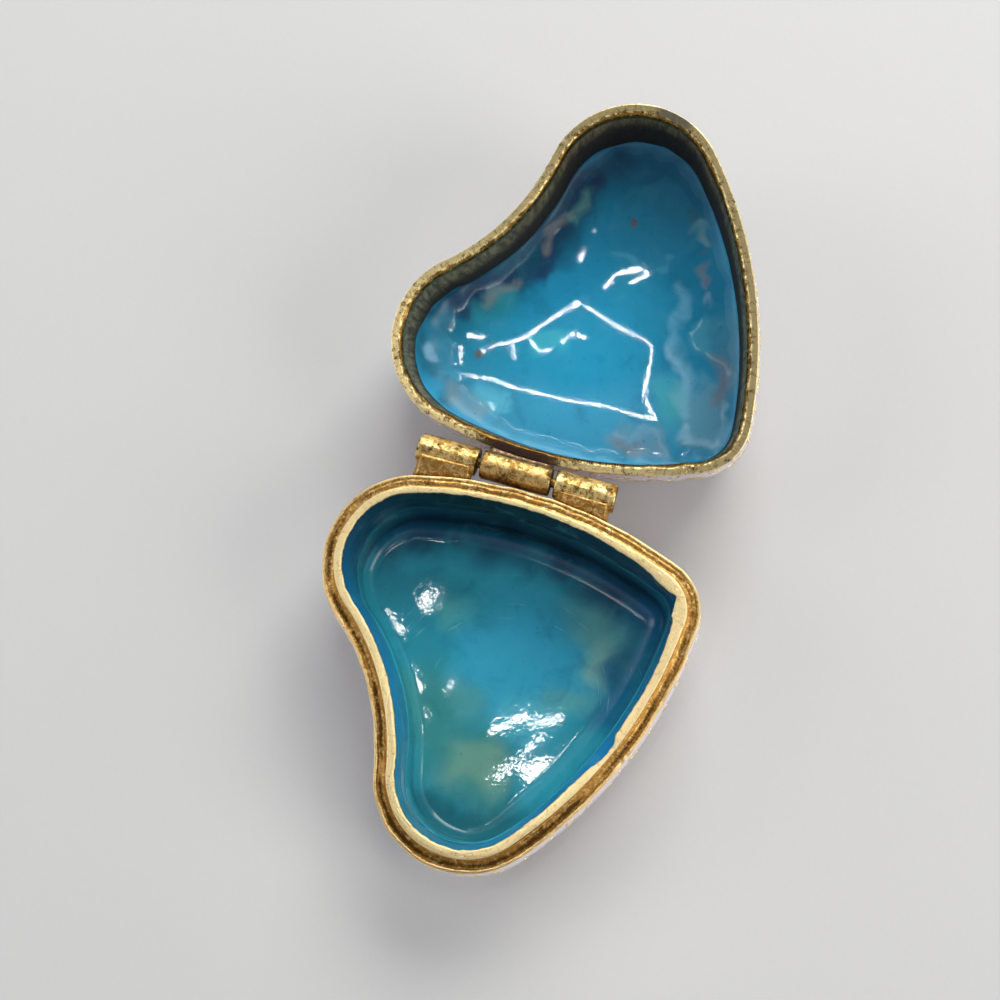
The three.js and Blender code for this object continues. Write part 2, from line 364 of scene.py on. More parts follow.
def round_piece(name, points, ring=False, fields=None):
    """A closed piece from rows of points that each run once round the heart."""
    rows, columns = points.shape[:2]
    fields = dict(fields or {})
    quads = quad_corners(rows, columns, ring, True)
    uncut = quad_corners(rows + 1 if ring else rows, columns + 1, False, False)
    step = np.linalg.norm(np.diff(points, axis=0), axis=-1).mean(axis=1)
    across = np.concatenate([[0.0], np.cumsum(step), [np.sum(step)]])[:rows + 1]
    around = np.linspace(0.0, GIRTH, columns + 1)
    strip = np.stack(np.broadcast_arrays(around[None, :], across[:, None]), axis=-1)
    strip = strip.reshape(-1, 2) / MM_IN_CM
    uv = strip[uncut.ravel()]
    corners = quads.ravel()
    starts = np.arange(len(quads)) * 4
    flat = points.reshape(-1, 3)
    if not ring:
        first, last = len(flat), len(flat) + 1
        start_middle = points[0].mean(axis=0)
        end_middle = points[-1].mean(axis=0)
        flat = np.concatenate([flat, [start_middle, end_middle]])
        column = np.arange(columns)
        right = (column + 1) % columns
        foot = (rows - 1) * columns
        fan_start = np.stack([np.full(columns, first), right, column], axis=-1)
        fan_end = np.stack([np.full(columns, last), foot + column, foot + right], axis=-1)
        fans = np.concatenate([fan_start, fan_end]).ravel()
        starts = np.concatenate([starts, len(corners) + np.arange(2 * columns) * 3])
        corners = np.concatenate([corners, fans])
        uv = np.concatenate([uv, np.zeros((len(fans), 2))])
        fields = {k: np.concatenate([v.reshape(rows * columns, -1), v[0].reshape(columns, -1)[:1],
                                     v[-1].reshape(columns, -1)[:1]]) for k, v in fields.items()}
    fields = {k: v.reshape(-1, 4) if v.shape[-1] == 4 else v.ravel() for k, v in fields.items()}
    piece = new_object(name, flat, corners, starts, uv, fields)
    print(f"{name}: {len(quads) * 2} triangles")
    return piece


# %% Profiles
CORNER_STEPS = 5


def wide(values, columns=COLUMNS):
    """One column of values repeated for every column of a grid."""
    return np.repeat(values, columns, axis=1)


def soft_profile(corners, step=0.35):
    """A line through (inset, height, rounding) corners, each rounded by a short parabola.

    A corner of rounding r is replaced by the parabola from r before it to r after it, and the
    straight stretches between are cut into equal steps."""
    corners = [np.array(c, dtype=float) for c in corners]
    path = [corners[0][:2]]
    for before, here, after in zip(corners, corners[1:], corners[2:]):
        radius = here[2]
        if radius == 0:
            path.append(here[:2])
            continue
        to_before, to_after = before[:2] - here[:2], after[:2] - here[:2]
        a = here[:2] + to_before * min(0.5, radius / np.linalg.norm(to_before))
        b = here[:2] + to_after * min(0.5, radius / np.linalg.norm(to_after))
        for t in np.linspace(0, 1, CORNER_STEPS):
            path.append((1 - t) ** 2 * a + 2 * t * (1 - t) * here[:2] + t ** 2 * b)
    path.append(corners[-1][:2])
    fine = [path[0]]
    for a, b in zip(path, path[1:]):
        cuts = max(1, math.ceil(np.linalg.norm(b - a) / step))
        fine.extend(a + (b - a) * i / cuts for i in range(1, cuts + 1))
    return np.array(fine)


def carried(inset, height, columns=COLUMNS, share=1.0):
    """Rows of points: share * (outline - inset * outward), at the height."""
    line, out, _ = heart(columns) if columns != COLUMNS else (LINE, OUT, ALONG)
    inset = np.broadcast_to(inset, np.broadcast_shapes(np.shape(inset), (1, columns)))
    height = np.broadcast_to(height, inset.shape)
    share = np.broadcast_to(share, inset.shape)
    plane = (line[None] - inset[..., None] * out[None]) * share[..., None]
    return np.concatenate([plane, height[..., None]], axis=-1)


def to_middle(inset, height, shares, columns=COLUMNS, height_at=None):
    """Rows that shrink the outline at one inset towards the middle, for floors and tops."""
    shares = np.asarray(shares, dtype=float)[:, None]
    level = height if height_at is None else height_at(shares)
    return carried(np.full((len(shares), 1), inset), level, columns, shares)


# %% [markdown]
# ## Shader maths
# A small class wraps one output socket, so that a sum written in Python adds its Math nodes. Any
# other node comes from one method that takes its type, its settings and its inputs.

# %% Signals and finishes
class Signal:
    """An output socket that Python's operators can add to, take from, multiply and raise."""

    def __init__(self, finish, socket):
        self.finish = finish
        self.socket = socket

    def math(self, operation, *others):
        """A Math node on this signal and any others."""
        inputs = dict(enumerate([self, *others]))
        return self.finish.node("ShaderNodeMath", {"operation": operation}, inputs)

    def __add__(self, other):
        return self.math("ADD", other)

    def __radd__(self, other):
        return self.math("ADD", other)

    def __sub__(self, other):
        return self.math("SUBTRACT", other)

    def __rsub__(self, other):
        return (self * -1.0).math("ADD", other)

    def __mul__(self, other):
        return self.math("MULTIPLY", other)

    def __rmul__(self, other):
        return self.math("MULTIPLY", other)

    def __pow__(self, other):
        return self.math("POWER", other)

    def ramp(self, low, high):
        """0 at low and 1 at high, smoothly between."""
        return self.finish.node("ShaderNodeMapRange", {"interpolation_type": "SMOOTHSTEP"},
                                {"Value": self, "From Min": low, "From Max": high})


class Finish:
    """A material with one Principled shader whose fixed values are set by name."""

    def __init__(self, name, **fixed):
        self.material = bpy.data.materials.new(name)
        self.material.use_nodes = True
        self.tree = self.material.node_tree
        self.shader = self.tree.nodes["Principled BSDF"]
        for socket, value in fixed.items():
            self.shader.inputs[socket.replace("_", " ")].default_value = value

    def node(self, kind, settings=None, inputs=None, output=0):
        """A node of a type, with its settings made first and then its values or links."""
        node = self.tree.nodes.new(kind)
        for setting, value in (settings or {}).items():
            setattr(node, setting, value)
        for key, value in (inputs or {}).items():
            if isinstance(value, Signal):
                self.tree.links.new(value.socket, node.inputs[key])
            else:
                node.inputs[key].default_value = value
        return Signal(self, node.outputs[output])

    def place(self):
        """Object coordinates, which are metres in the object's own frame."""
        return self.node("ShaderNodeTexCoord", output=3)

    def strip(self):
        """The UV map: centimetres along and across the strip."""
        return self.node("ShaderNodeUVMap", {"uv_map": "strip"})

    def field(self, name):
        """A number that the mesh stores at its points."""
        return self.node("ShaderNodeAttribute", {"attribute_name": name}, output=2)

    def tint(self, name):
        """A colour that the mesh stores at its points."""
        return self.node("ShaderNodeAttribute", {"attribute_name": name}, output=0)

    def scaled(self, vector, factors):
        """The vector times three factors."""
        return self.node("ShaderNodeVectorMath", {"operation": "MULTIPLY"}, {0: vector, 1: factors})

    def noise(self, vector, scale, detail=3.0, roughness=0.55, distortion=0.0):
        """Noise from about 0 to 1 with features of 1 / scale."""
        return self.node("ShaderNodeTexNoise", None, {
            "Vector": vector, "Scale": scale, "Detail": detail, "Roughness": roughness,
            "Distortion": distortion})

    def mix(self, first, second, factor):
        """The first colour turning into the second as the factor goes from 0 to 1."""
        return self.node("ShaderNodeMix", {"data_type": "RGBA"},
                         {0: factor, 6: first, 7: second}, output=2)

    def bump(self, height, distance, strength=1.0):
        """A normal from a height signal, for relief too fine to mesh."""
        return self.node("ShaderNodeBump", None,
                         {"Height": height, "Distance": distance * MM, "Strength": strength})

    def drive(self, **links):
        """Feeds shader sockets by name."""
        for socket, signal in links.items():
            self.tree.links.new(signal.socket, self.shader.inputs[socket.replace("_", " ")])


# %% [markdown]
# ## Gilt
# Worn gilding is pale and bright where it is rubbed, deeper gold where it is sheltered, and brown
# to black where tarnish sits in the hollows. Each metal mesh stores how rubbed and how hollow it
# is at every point, and leaf-like noise breaks both up. File marks are noise stretched across
# the strip.

# %% Gilt finishes
SOOT = "#150e08"
CLOUDS = 430.0
GRAIN = 6800.0
PITS = 3100.0
FILE_MARKS = (110.0, 14.0, 1.0)
GOLD_RELIEF = 0.05


def gilt_finish(name, tones, leaf, file_marks, pits, rough):
    """Gold between three tones by the worn and hollow fields, with file marks and pits."""
    pale, gold, brown = (paint(tone) for tone in tones)
    metal = Finish(name, Metallic=1.0)
    place = metal.place()
    worn = metal.field("worn")
    hollow = metal.field("hollow")
    cloud = metal.noise(place, CLOUDS, 4.0, 0.6) - 0.5
    flakes = metal.noise(place, leaf, 5.0, 0.68, 0.5) - 0.5
    grain = metal.noise(place, GRAIN, 3.0, 0.7) - 0.5
    filed = metal.noise(metal.scaled(metal.strip(), FILE_MARKS), 1.0, 3.0, 0.7, 0.4) - 0.5
    rubbed = (worn + flakes * 2.6 + cloud * 0.5 + filed * file_marks + grain * 1.1).ramp(0.22, 0.82)
    dirt = (hollow + cloud * 0.9 - flakes * 1.1 + grain * 0.8).ramp(0.3, 0.85)
    first_pit = 0.74 - 0.1 * pits
    pit = (metal.noise(place, PITS, 3.0, 0.7) + hollow * 0.05).ramp(first_pit, first_pit + 0.05)
    base = metal.mix(gold, pale, rubbed)
    base = metal.mix(base, brown, dirt * 0.9)
    base = metal.mix(base, paint(SOOT), pit * 0.85)
    relief = filed * 0.6 * file_marks + flakes * 0.9 + grain * 0.8 - pit * 0.7
    metal.drive(Base_Color=base, Normal=metal.bump(relief, GOLD_RELIEF, 0.85),
                Roughness=rough + dirt * 0.25 - rubbed * 0.04 + grain * 0.12 + pit * 0.3)
    return metal.material


RIM_GOLD = gilt_finish("gilt_rim", ("#dfc184", "#a87c3b", "#38230c"),
                       leaf=2300.0, file_marks=0.5, pits=0.2, rough=0.33)
LIP_GOLD = gilt_finish("gilt_lip", ("#e9d29c", "#c0964f", "#4e3212"),
                       leaf=3000.0, file_marks=0.7, pits=0.2, rough=0.38)
BARREL_GOLD = gilt_finish("gilt_barrel", ("#e6ca88", "#9e7734", "#35210b"),
                          leaf=2100.0, file_marks=0.2, pits=0.95, rough=0.34)
SCORCHED = gilt_finish("gilt_scorched", ("#c0a678", "#5a4234", "#261b1a"),
                       leaf=2400.0, file_marks=0.2, pits=0.6, rough=0.42)
DARK_GOLD = gilt_finish("gilt_dark", ("#c9a86c", "#85622f", "#2c1c0d"),
                        leaf=2100.0, file_marks=0.2, pits=0.95, rough=0.36)
WIRE_GOLD = gilt_finish("gilt_wire", ("#f3dda0", "#cfa04a", "#6b4616"),
                        leaf=2100.0, file_marks=0.2, pits=0.0, rough=0.25)
print("gilt finishes made")

# %% [markdown]
# ## The base shell
# The shell is turned up from the table: a foot, the wall hidden under the enamel, a gilt band, a
# thin outer rim, and a shallow channel between that rim and the lip, where tarnish has gathered.
# The rim is nicked, and its width wanders. On the hinge side the ledge is filled with solder.

# %% Places on the base
# Picture places of the marks, and each nick with its depth and half width.
DENT_AT = (614, 748)
CLEFT_BEAD_AT = (376, 690)
HINGE_SIDE_AT = np.array([-5.6, 14.6, 0.0])
RIM_NICKS = (((622, 765), 0.2, 0.35), ((628, 757), 0.14, 0.2), ((657, 697), 0.1, 0.3),
             ((560, 838), 0.08, 0.4), ((381, 700), 0.12, 0.5), ((345, 630), 0.06, 0.3))
GRIME_AT = (402, 838)

DENT = along_at(seen_in_base(*DENT_AT, LIP_TOP))
GRIME = along_at(seen_in_base(*GRIME_AT, LEDGE))
HINGE_SIDE = along_at(HINGE_SIDE_AT)
CLEFT_BEAD = along_at(seen_in_base(*CLEFT_BEAD_AT, LEDGE))


# %% Base shell
TUCK_CURVE = 2.2
TOP_DRAW_IN = 0.15
BULGE = 0.85
BULGE_SKEW = 1.2
BULGE_START = 0.3

UNDERSIDE = (3.3, 0.22)
INSIDE_FLOOR = (3.9, 1.0)
LEDGE_END = 1.55
CHANNEL_MIDDLE = 0.68
SLOPE_MIDDLE = 1.12
RIM_MIDDLE = 0.1
SOLDER_RUN = 15.0
GRIME_RUN = 40.0
BEAD_RUN = 0.9
SOLDER_FILL = 0.15
DIRT_FILL = 0.08
BEAD_FILL = 0.1
# Corners of the section: inset, height and rounding.
FOOT_CORNERS = [(*UNDERSIDE, 0), (3.0, 0.22, 0.1), (2.85, 0.0, 0.12), (FOOT_INSET, 0.0, 0.15),
                (FOOT_INSET, FOOT - 0.05, 0.1), (FOOT_INSET + 0.4, FOOT, 0)]
LEDGE_CORNERS = [(TOP_DRAW_IN + COAT, LEDGE - BAND, 0), (0.02, LEDGE - BAND, 0.06),
                 (0.0, LEDGE - 0.02, 0.12), (0.3, LEDGE, 0.12), (0.46, CHANNEL, 0.1),
                 (0.92, CHANNEL, 0.2), (1.28, CHANNEL + 0.4, 0.12), (1.6, CHANNEL + 0.42, 0),
                 (2.2, CHANNEL - 0.1, 0)]
INSIDE_CORNERS = [(2.2, 3.4), (2.7, 2.0), INSIDE_FLOOR]


def base_side_inset(share):
    """Inset of the enamelled side: the foot tucks in, the middle swells, the top meets the band."""
    tuck = FOOT_INSET * (1 - share) ** TUCK_CURVE
    swell = BULGE * np.sin(math.pi * share ** BULGE_SKEW) * share ** BULGE_START
    return tuck + TOP_DRAW_IN * share - swell


def base_side(depth, count, trim=0.0):
    """Insets and heights up the base's side, drawn in by a depth of enamel."""
    share = np.linspace(0, 1, count)
    bottom = FOOT + trim
    top = LEDGE - BAND - trim
    return np.stack([base_side_inset(share) + depth, bottom + (top - bottom) * share], axis=1)


def base_shell():
    """Carries the shell's section round the heart and wears its ledge."""
    profile = np.concatenate([soft_profile(FOOT_CORNERS, 0.2), base_side(COAT, 5),
                              soft_profile(LEDGE_CORNERS, 0.1), INSIDE_CORNERS])
    reach, level = profile[:, :1], profile[:, 1:]
    inset, height = wide(reach), wide(level)
    on_ledge = (level > CHANNEL - 0.15) & (reach < LEDGE_END)
    channel = np.clip(1.25 - np.abs(reach - CHANNEL_MIDDLE) / 0.3, 0, 1) * on_ledge
    slope = hump(reach - SLOPE_MIDDLE, 0.2) * on_ledge
    outer = hump(reach - RIM_MIDDLE, 0.2) * on_ledge
    solder = hump(apart(ALONG, HINGE_SIDE), SOLDER_RUN)[None] ** 0.4
    grimy = soft_step(hump(apart(ALONG, GRIME), GRIME_RUN) * 1.4)[None]
    height += channel * (solder * SOLDER_FILL + DIRT_FILL * (1 - solder) * (1 - grimy))
    shelf = np.clip((reach - 0.95) / 0.3, 0, 1) * (level > CHANNEL)
    height -= (shelf * 0.24 + outer * 0.03) * solder
    height += channel * 0.02 * line_wander(ALONG, 2.2, 11)[None]
    inset += on_ledge * line_wander(ALONG, 5.0, 12)[None] * 0.05
    spread = np.stack([np.broadcast_to(ALONG[None], inset.shape), inset * 3], axis=-1)
    height += channel * wander(spread, 0.8, 13) * 0.02
    nicks = sum(depth * hump(apart(ALONG, along_at(seen_in_base(*at, LEDGE))), width)
                for at, depth, width in RIM_NICKS)
    height -= outer * (nicks + 0.015 * np.abs(line_wander(ALONG, 1.6, 14)))[None]
    height += channel * hump(apart(ALONG, CLEFT_BEAD), BEAD_RUN)[None] * BEAD_FILL
    floor = to_middle(*INSIDE_FLOOR, [0.8, 0.5, 0.2])
    underside = to_middle(*UNDERSIDE, [0.2, 0.5, 0.8])
    points = np.concatenate([underside, carried(inset, height), floor])
    patchy = np.clip(0.85 + 0.3 * line_wander(ALONG, 5.0, 15), 0.3, 1.0)[None]
    hollow = (channel * 0.95 * patchy + slope * 0.4) * (0.3 + 0.7 * grimy) * (1 - 0.7 * solder)
    hollow = hollow + 0.3 * solder * on_ledge
    worn = outer * (0.95 - 0.6 * solder) + 0.12 * solder * on_ledge + 0.22
    grow = ((len(underside), len(floor)), (0, 0))
    fields = {"worn": np.pad(worn, grow, constant_values=0.35),
              "hollow": np.pad(hollow, grow, constant_values=0.15)}
    return round_piece("base_shell", points, fields=fields)


shell = base_shell()
shell.data.materials.append(RIM_GOLD)
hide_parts("base_body")
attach(shell, "base")

# %% [markdown]
# ## The lip
# The lip is a strip of brass soldered on edge and filed flat. It is thin on the hinge side, its
# inside comes to a sharp corner at the tip, and a blow from inside has pushed it out and pinched
# it on the far side.

# %% Base lip
LIP_OUTER = 1.4
LIP_INNER = 2.22
LIP_FOOT = CHANNEL - 0.05
LIP_END = LIP_FOOT - 0.55
LIP_EDGE = 0.14
THINNEST = 0.3
TIP_CORNER = math.radians(55)
TIP_INSET = 2.42
TIP_FADE = 2.2
CORNER_SHIFT = 0.35
# Corners of the lip's section: share of the way across, height and rounding.
LIP_CORNERS = [(0.0, LIP_FOOT, 0), (0.0, LIP_TOP - 0.01, LIP_EDGE), (0.5, LIP_TOP, 0),
               (1.0, LIP_TOP - 0.02, LIP_EDGE), (1.0, LIP_FOOT, 0.1), (1.0, LIP_END, 0),
               (0.5, LIP_END, 0), (0.5, LIP_FOOT, 0)]


def tip_corner(along):
    """Extra inset that turns the inside of the tip into a corner.

    Inside an arc of radius r, a straight side that leaves the apex at half angle c stands
    r sin(c) / sin(c + angle) from the arc's centre, until it runs square to that line."""
    angle = np.abs(apart(along, CORNER_SHIFT)) / TIP_RADIUS
    inner = TIP_RADIUS - TIP_INSET
    limit = math.pi / 2 - TIP_CORNER
    straight = inner - inner * math.sin(TIP_CORNER) / np.sin(TIP_CORNER + np.minimum(angle, limit))
    return straight * np.exp(-np.maximum(angle - limit, 0) * TIP_RADIUS / TIP_FADE)


def dent_push(along):
    """How far the blow pushed the lip: steep on the tip's side of the dent and slow on the other."""
    place = apart(along, DENT)
    return soft_step((1.3 - place) / 1.1) * soft_step((place + 4.6) / 4.4)


def lip_insets(along):
    """Outer and inner inset of the lip's flat top at a distance along the outline."""
    hinge = hump(apart(along, HINGE_SIDE), 13.0)
    dent = dent_push(along)
    outer = LIP_OUTER + 0.025 * line_wander(along, 7.0, 21) - 0.04 * dent + 0.03 * hinge
    inner = LIP_INNER + 0.04 * line_wander(along, 3.0, 22) + 0.025 * line_wander(along, 0.9, 23)
    inner = inner - 0.28 * hinge - 0.5 * dent + tip_corner(along)
    return outer, inner


def base_lip():
    """A flat-topped strip: each point of its section sits between the outer and inner inset."""
    outer, inner = lip_insets(ALONG)
    section = soft_profile(LIP_CORNERS, 0.1)
    across, level = section[:-1, :1], section[:-1, 1:]
    width = np.maximum(inner - outer, THINNEST)[None]
    inset = outer[None] + width * np.minimum(across, 1) + np.maximum(across - 1, 0) * 2.0
    high = np.clip((level - LEDGE) / (LIP_TOP - LEDGE), 0, 1)
    inset = inset - 0.1 * (1 - high) * np.clip(1 - across * 2.2, 0, 1)
    height = level + high * (0.03 * line_wander(ALONG, 8.0, 24) - 0.1 * dent_push(ALONG))[None]
    spread = np.stack([np.broadcast_to(ALONG[None], inset.shape), inset * 2], axis=-1)
    on_top = level > LIP_TOP - 0.1
    height = height + on_top * wander(spread, 0.45, 25) * 0.01
    flat = on_top * (across < 1.01)
    within = soft_step((across - 0.9) / 0.1) * (1 - soft_step((level - LIP_TOP + 0.35) / 0.3))
    worn = 0.64 * flat + 0.25 * high * (1 - within)
    hollow = 0.6 * (1 - high) * (across < 0.4) + 0.3 * (1 - flat) + 0.35 * within
    return round_piece("base_lip_strip", carried(inset, height), ring=True,
                       fields={"worn": wide(worn), "hollow": wide(hollow)})


lip = base_lip()
lip.data.materials.append(LIP_GOLD)
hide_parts("base_lip")
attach(lip, "base")

# %% [markdown]
# ## Enamel inside
# Fired enamel is coloured glass: a deep, cloudy colour under a glossy skin that is never quite
# flat. The floors get slow waves in the mesh, because the small bright reflections on them take
# their shape from those waves. A second coat on the wall of the base ends in a fine raised line,
# and in the lid the glass crept up the wall at one lobe.

# %% Base lining
FLOOR_COLUMNS = 660
BASE_LIFT = 1.4
LID_LIFT = 1.48
FILLET_RUN = 2.55
FILLET_RISE = 2.7
TIGHT_RUN = 1.0
TIGHT_RISE = 1.3
WALL_TOP = CHANNEL - 0.2
LEFT_SIDE = along_at(seen_in_base(352, 600, LEDGE))
LOWER_LOBE = along_at(seen_in_base(400, 830, LEDGE))


def base_floor_level(x, y):
    """Height of the base's glass floor, with slow waves."""
    flat = np.stack([x, y], axis=-1)
    return LINING_FLOOR + 0.007 * wander(flat, 8.0, 31) + 0.0006 * wander(flat, 2.6, 32)


def coat_line(along):
    """Height of the raised line where the second coat on the wall ends."""
    left = hump(apart(along, LEFT_SIDE), 16.0)
    hinge = hump(apart(along, HINGE_SIDE), 17.0)
    south = hump(apart(along, LOWER_LOBE), 8.0)
    return 6.6 - 1.9 * left + 3.0 * hinge + 1.4 * south


def base_glass_colour(points, along):
    """Teal with a bright middle, green and ochre drifts, a bluer wall above the coat line, and painted
    shade near black on the hinge side's wall.
    """
    colour = np.broadcast_to(linear("#227787"), (*points.shape[:-1], 4)).copy()
    drifted = nudged(nudged(points, 0.8, 5.0, 301), 0.25, 2.0, 311)
    colour = brushed(colour, drifted, seen_in_base, BASE_STROKES)
    wall = soft_step((points[..., 2] - coat_line(along)) / 0.3)
    # Painted shade: towards the hinge the wall's tone above the coat line turns near black.
    shade = hump(apart(along, HINGE_SIDE), 19.0)[..., None] ** 0.5
    south = hump(apart(along, LOWER_LOBE), 12.0)[..., None]
    tone = linear("#136194") * (1 - shade) + linear("#030b10") * shade
    tone = tone * (1 - 0.8 * south) + linear("#1b4e58") * 0.8 * south
    cover = wall[..., None] * (0.8 + 0.18 * shade)
    colour = colour * (1 - cover) + tone * cover
    # Painted shade: on the hinge side the wall and the curve down to the floor are darkened near black,
    # the floor itself hardly.
    dark = 0.97 * soft_step((points[..., 2:] - 1.35) / 2.0) * shade
    colour = np.clip((colour * (1 - dark) + linear("#030b10") * dark) * BASE_LIFT, 0, 1)
    colour[..., 3] = 1
    return colour


BRIGHT_MIDDLE = ((490, 655), (530, 640), (570, 670), (520, 690))
UPPER_DRIFT = ((425, 545), (480, 560), (545, 590))
GREEN_RIGHT = ((596, 622), (606, 665))
OCHRE_RIGHT = ((594, 650), (602, 668))
GREEN_LOWER = ((425, 705), (450, 745), (480, 770))
OCHRE_LOWER = ((462, 772), (490, 765))
OCHRE_MIDDLE = ((458, 690), (470, 700))
OCHRE_EAST = ((556, 700), (585, 705))
OCHRE_NORTH = ((447, 602), (452, 615))
HINGE_SHADE = ((362, 520), (400, 503), (470, 506), (545, 524), (610, 556), (668, 600))
EAST_SHADE = ((668, 610), (640, 665), (612, 715))
SOUTH_SHADE = ((420, 815), (452, 842), (500, 825))
PALE_CENTRE = ((515, 720), (545, 715))
BASE_STROKES = (
    (SOUTH_SHADE, 1.0, 4.0, "#184d56", 0.85),
    (UPPER_DRIFT, 1.6, 3.6, "#2a8b9e", 0.75),
    (BRIGHT_MIDDLE, 1.6, 5.4, "#2e8ba6", 0.8),
    (GREEN_LOWER, 1.4, 4.4, "#2f6c68", 0.75),
    (PALE_CENTRE, 0.8, 2.8, "#4798a3", 0.5),
    (GREEN_RIGHT, 0.8, 3.6, "#5c9894", 0.75),
    (OCHRE_RIGHT, 0.3, 2.4, "#76a095", 0.6),
    (OCHRE_LOWER, 0.3, 3.6, "#6d8f74", 0.55),
    (OCHRE_MIDDLE, 0.3, 2.4, "#4c8480", 0.5),
    (OCHRE_EAST, 0.3, 2.4, "#54897d", 0.5),
    (OCHRE_NORTH, 0.3, 2.4, "#4f9690", 0.5),
    (HINGE_SHADE, 2.2, 5.0, "#07304c", 0.95),
    (EAST_SHADE, 0.8, 3.2, "#0f4d70", 0.75))


def base_lining():
    """A cup of glass: down the wall over the coat line, round a fillet, and a wavy floor."""
    _, out, along = heart(FLOOR_COLUMNS)
    coat = coat_line(along)[None]
    back = np.array([(4.0, LINING_FLOOR - 0.27), (2.73, 2.03), (2.23, 3.4), (2.23, WALL_TOP)])
    edge = lip_insets(along)[1][None]
    brim = np.array([(0.01, 0.1), (0.01, 1.1), (0.035, 1.15), (0.06, 1.1), (0.08, 0.6)])
    upper = np.linspace(np.full_like(coat, WALL_TOP)[0], coat[0] + 0.3, 7)
    beads = np.linspace(coat[0] + 0.24, coat[0] - 0.3, 10)
    tight = hump(apart(along, LEFT_SIDE), 19.0) + hump(apart(along, LOWER_LOBE), 12.0)
    tight = np.clip(tight, 0, 1)[None]
    run = FILLET_RUN + (TIGHT_RUN - FILLET_RUN) * tight
    rise = FILLET_RISE + (TIGHT_RISE - FILLET_RISE) * tight
    lower = np.linspace(coat[0] - 0.5, LINING_FLOOR + rise[0], 6)
    wall_z = np.concatenate([upper, beads, lower])
    step = soft_step((coat + 0.12 - wall_z) / 0.26)
    south = hump(apart(along, LOWER_LOBE), 10.0)[None]
    wall_inset = LINING_INSET + 0.05 * (WALL_TOP - wall_z) / 8 + 0.15 * step * (1 - 0.8 * south)
    turn = np.linspace(0, math.pi / 2, 16)[1:, None] + 0.0 * coat
    fillet_inset = wall_inset[-1:] + run * (1 - np.cos(turn))
    fillet_z = LINING_FLOOR + rise * (1 - np.sin(turn))
    inset = np.concatenate([back[:, :1] + 0.0 * coat, edge + brim[:, :1], wall_inset, fillet_inset])
    height = np.concatenate([back[:, 1:] + 0.0 * coat, WALL_TOP + brim[:, 1:] + 0.0 * coat,
                             wall_z, fillet_z])
    wall = carried(inset, height, FLOOR_COLUMNS)
    shares = np.linspace(0.985, 0.015, 84)
    ring = wall[-1:] * [1, 1, 0]
    floor = ring * shares[:, None, None] + [0, 0, LINING_FLOOR]
    behind = to_middle(4.0, LINING_FLOOR - 0.27, [0.25, 0.6], FLOOR_COLUMNS)
    points = np.concatenate([behind, wall, floor])
    glass = (np.arange(len(points)) >= len(behind) + len(back) + len(brim) + 1)[:, None]
    low = soft_step((LINING_FLOOR + 0.78 * rise - points[..., 2]) / (0.6 * rise))
    points[..., 2] += glass * low * (base_floor_level(points[..., 0], points[..., 1]) - LINING_FLOOR)
    swell = (wander(points, 4.5, 33) * 0.05 + wander(points, 1.1, 34) * 0.012) * glass * (1 - low)
    points[..., :2] -= swell[..., None] * out[None]
    level = points[..., 2]
    beads = hump(level - coat, 0.45) * hump(apart(along, LEFT_SIDE), 24.0)[None]
    dull = soft_step((level - LINING_FLOOR - 0.03) / 0.04) * (1 - beads)
    fields = {"tone": base_glass_colour(points, along), "dull": dull}
    return round_piece("base_lining_glass", points, fields=fields)


# %% Lid lining
LEFT_LOBE_AT = (400, 360)


def along_on_lid(column, row):
    """Distance along the outline of a picture place on the lid's rim."""
    return along_at(swing(seen_in_lid(column, row, 0.0), -OPEN_ANGLE))


LEFT_LOBE = along_on_lid(*LEFT_LOBE_AT)


def lid_floor_level(x, y):
    """Depth of the lid's glass floor below the rim, with slow waves."""
    flat = np.stack([x, y], axis=-1)
    return LID_FLOOR - 0.004 * wander(flat, 8.0, 41) - 0.0003 * wander(flat, 2.4, 42)


def lid_glass_climb(along):
    """How far the glass creeps up the lid's wall."""
    lobe = hump(apart(along, LEFT_LOBE), 8.5)
    return 0.5 + 3.0 * lobe + 0.25 * line_wander(along, 4.0, 43)


CREST = ((455, 392), (520, 425), (590, 440), (670, 415))
MIDDLE_BLUE = ((455, 345), (540, 350), (620, 350), (640, 300))
LOBE_TOP = ((600, 165), (650, 150), (700, 195))
DISC = ((654, 227),)
DISC_RIM = ((607, 250), (640, 266), (680, 262))
# Painted reflection: a pale round mark on the curved glass at the left lobe, with a paler core.
PALE_REFLECTION = ((424, 350),)
PALE_REFLECTION_CORE = ((424, 347),)
# Painted shade: this stroke and the next lay the shadow of the left lobe's wall on the glass.
LEFT_SHADE = ((418, 345), (445, 318), (500, 282), (548, 240), (575, 190))
LEFT_RIM_SHADE = ((440, 400), (418, 375), (414, 345), (432, 318), (470, 292))
NAVY_LOW = ((458, 306), (478, 295), (500, 283), (520, 272))
BROWN_LOW = ((490, 298), (507, 289), (521, 277))
TEAL_LOW = ((480, 312), (505, 300))
NAVY_HIGH = ((546, 268), (553, 240), (566, 216), (590, 182))
BROWN_HIGH = ((545, 252), (556, 230), (576, 212))
GREEN_HIGH = ((574, 218), (586, 200))
SMOKE_TOP = ((585, 195), (600, 172), (625, 158))
PALE_LOW = ((482, 396), (500, 402))
DUSK_LOW = ((446, 393), (480, 409))
PALE_RUN = ((682, 285), (677, 318), (673, 352), (679, 382), (685, 405), (685, 430))
PALE_RUN_WIDE = ((674, 352), (682, 385), (686, 412))
PALE_HOOK = ((686, 430), (695, 443), (709, 446), (722, 437), (727, 412))
HOOK_FILL = ((700, 405), (706, 430))
THIN_RUN = ((709, 288), (702, 318), (691, 337), (695, 350), (714, 360), (725, 374))
EAST_POOL = ((706, 325), (703, 345))
EAST_BLOB = ((709, 300),)
EAST_BROWN = ((716, 362), (724, 385), (718, 405))
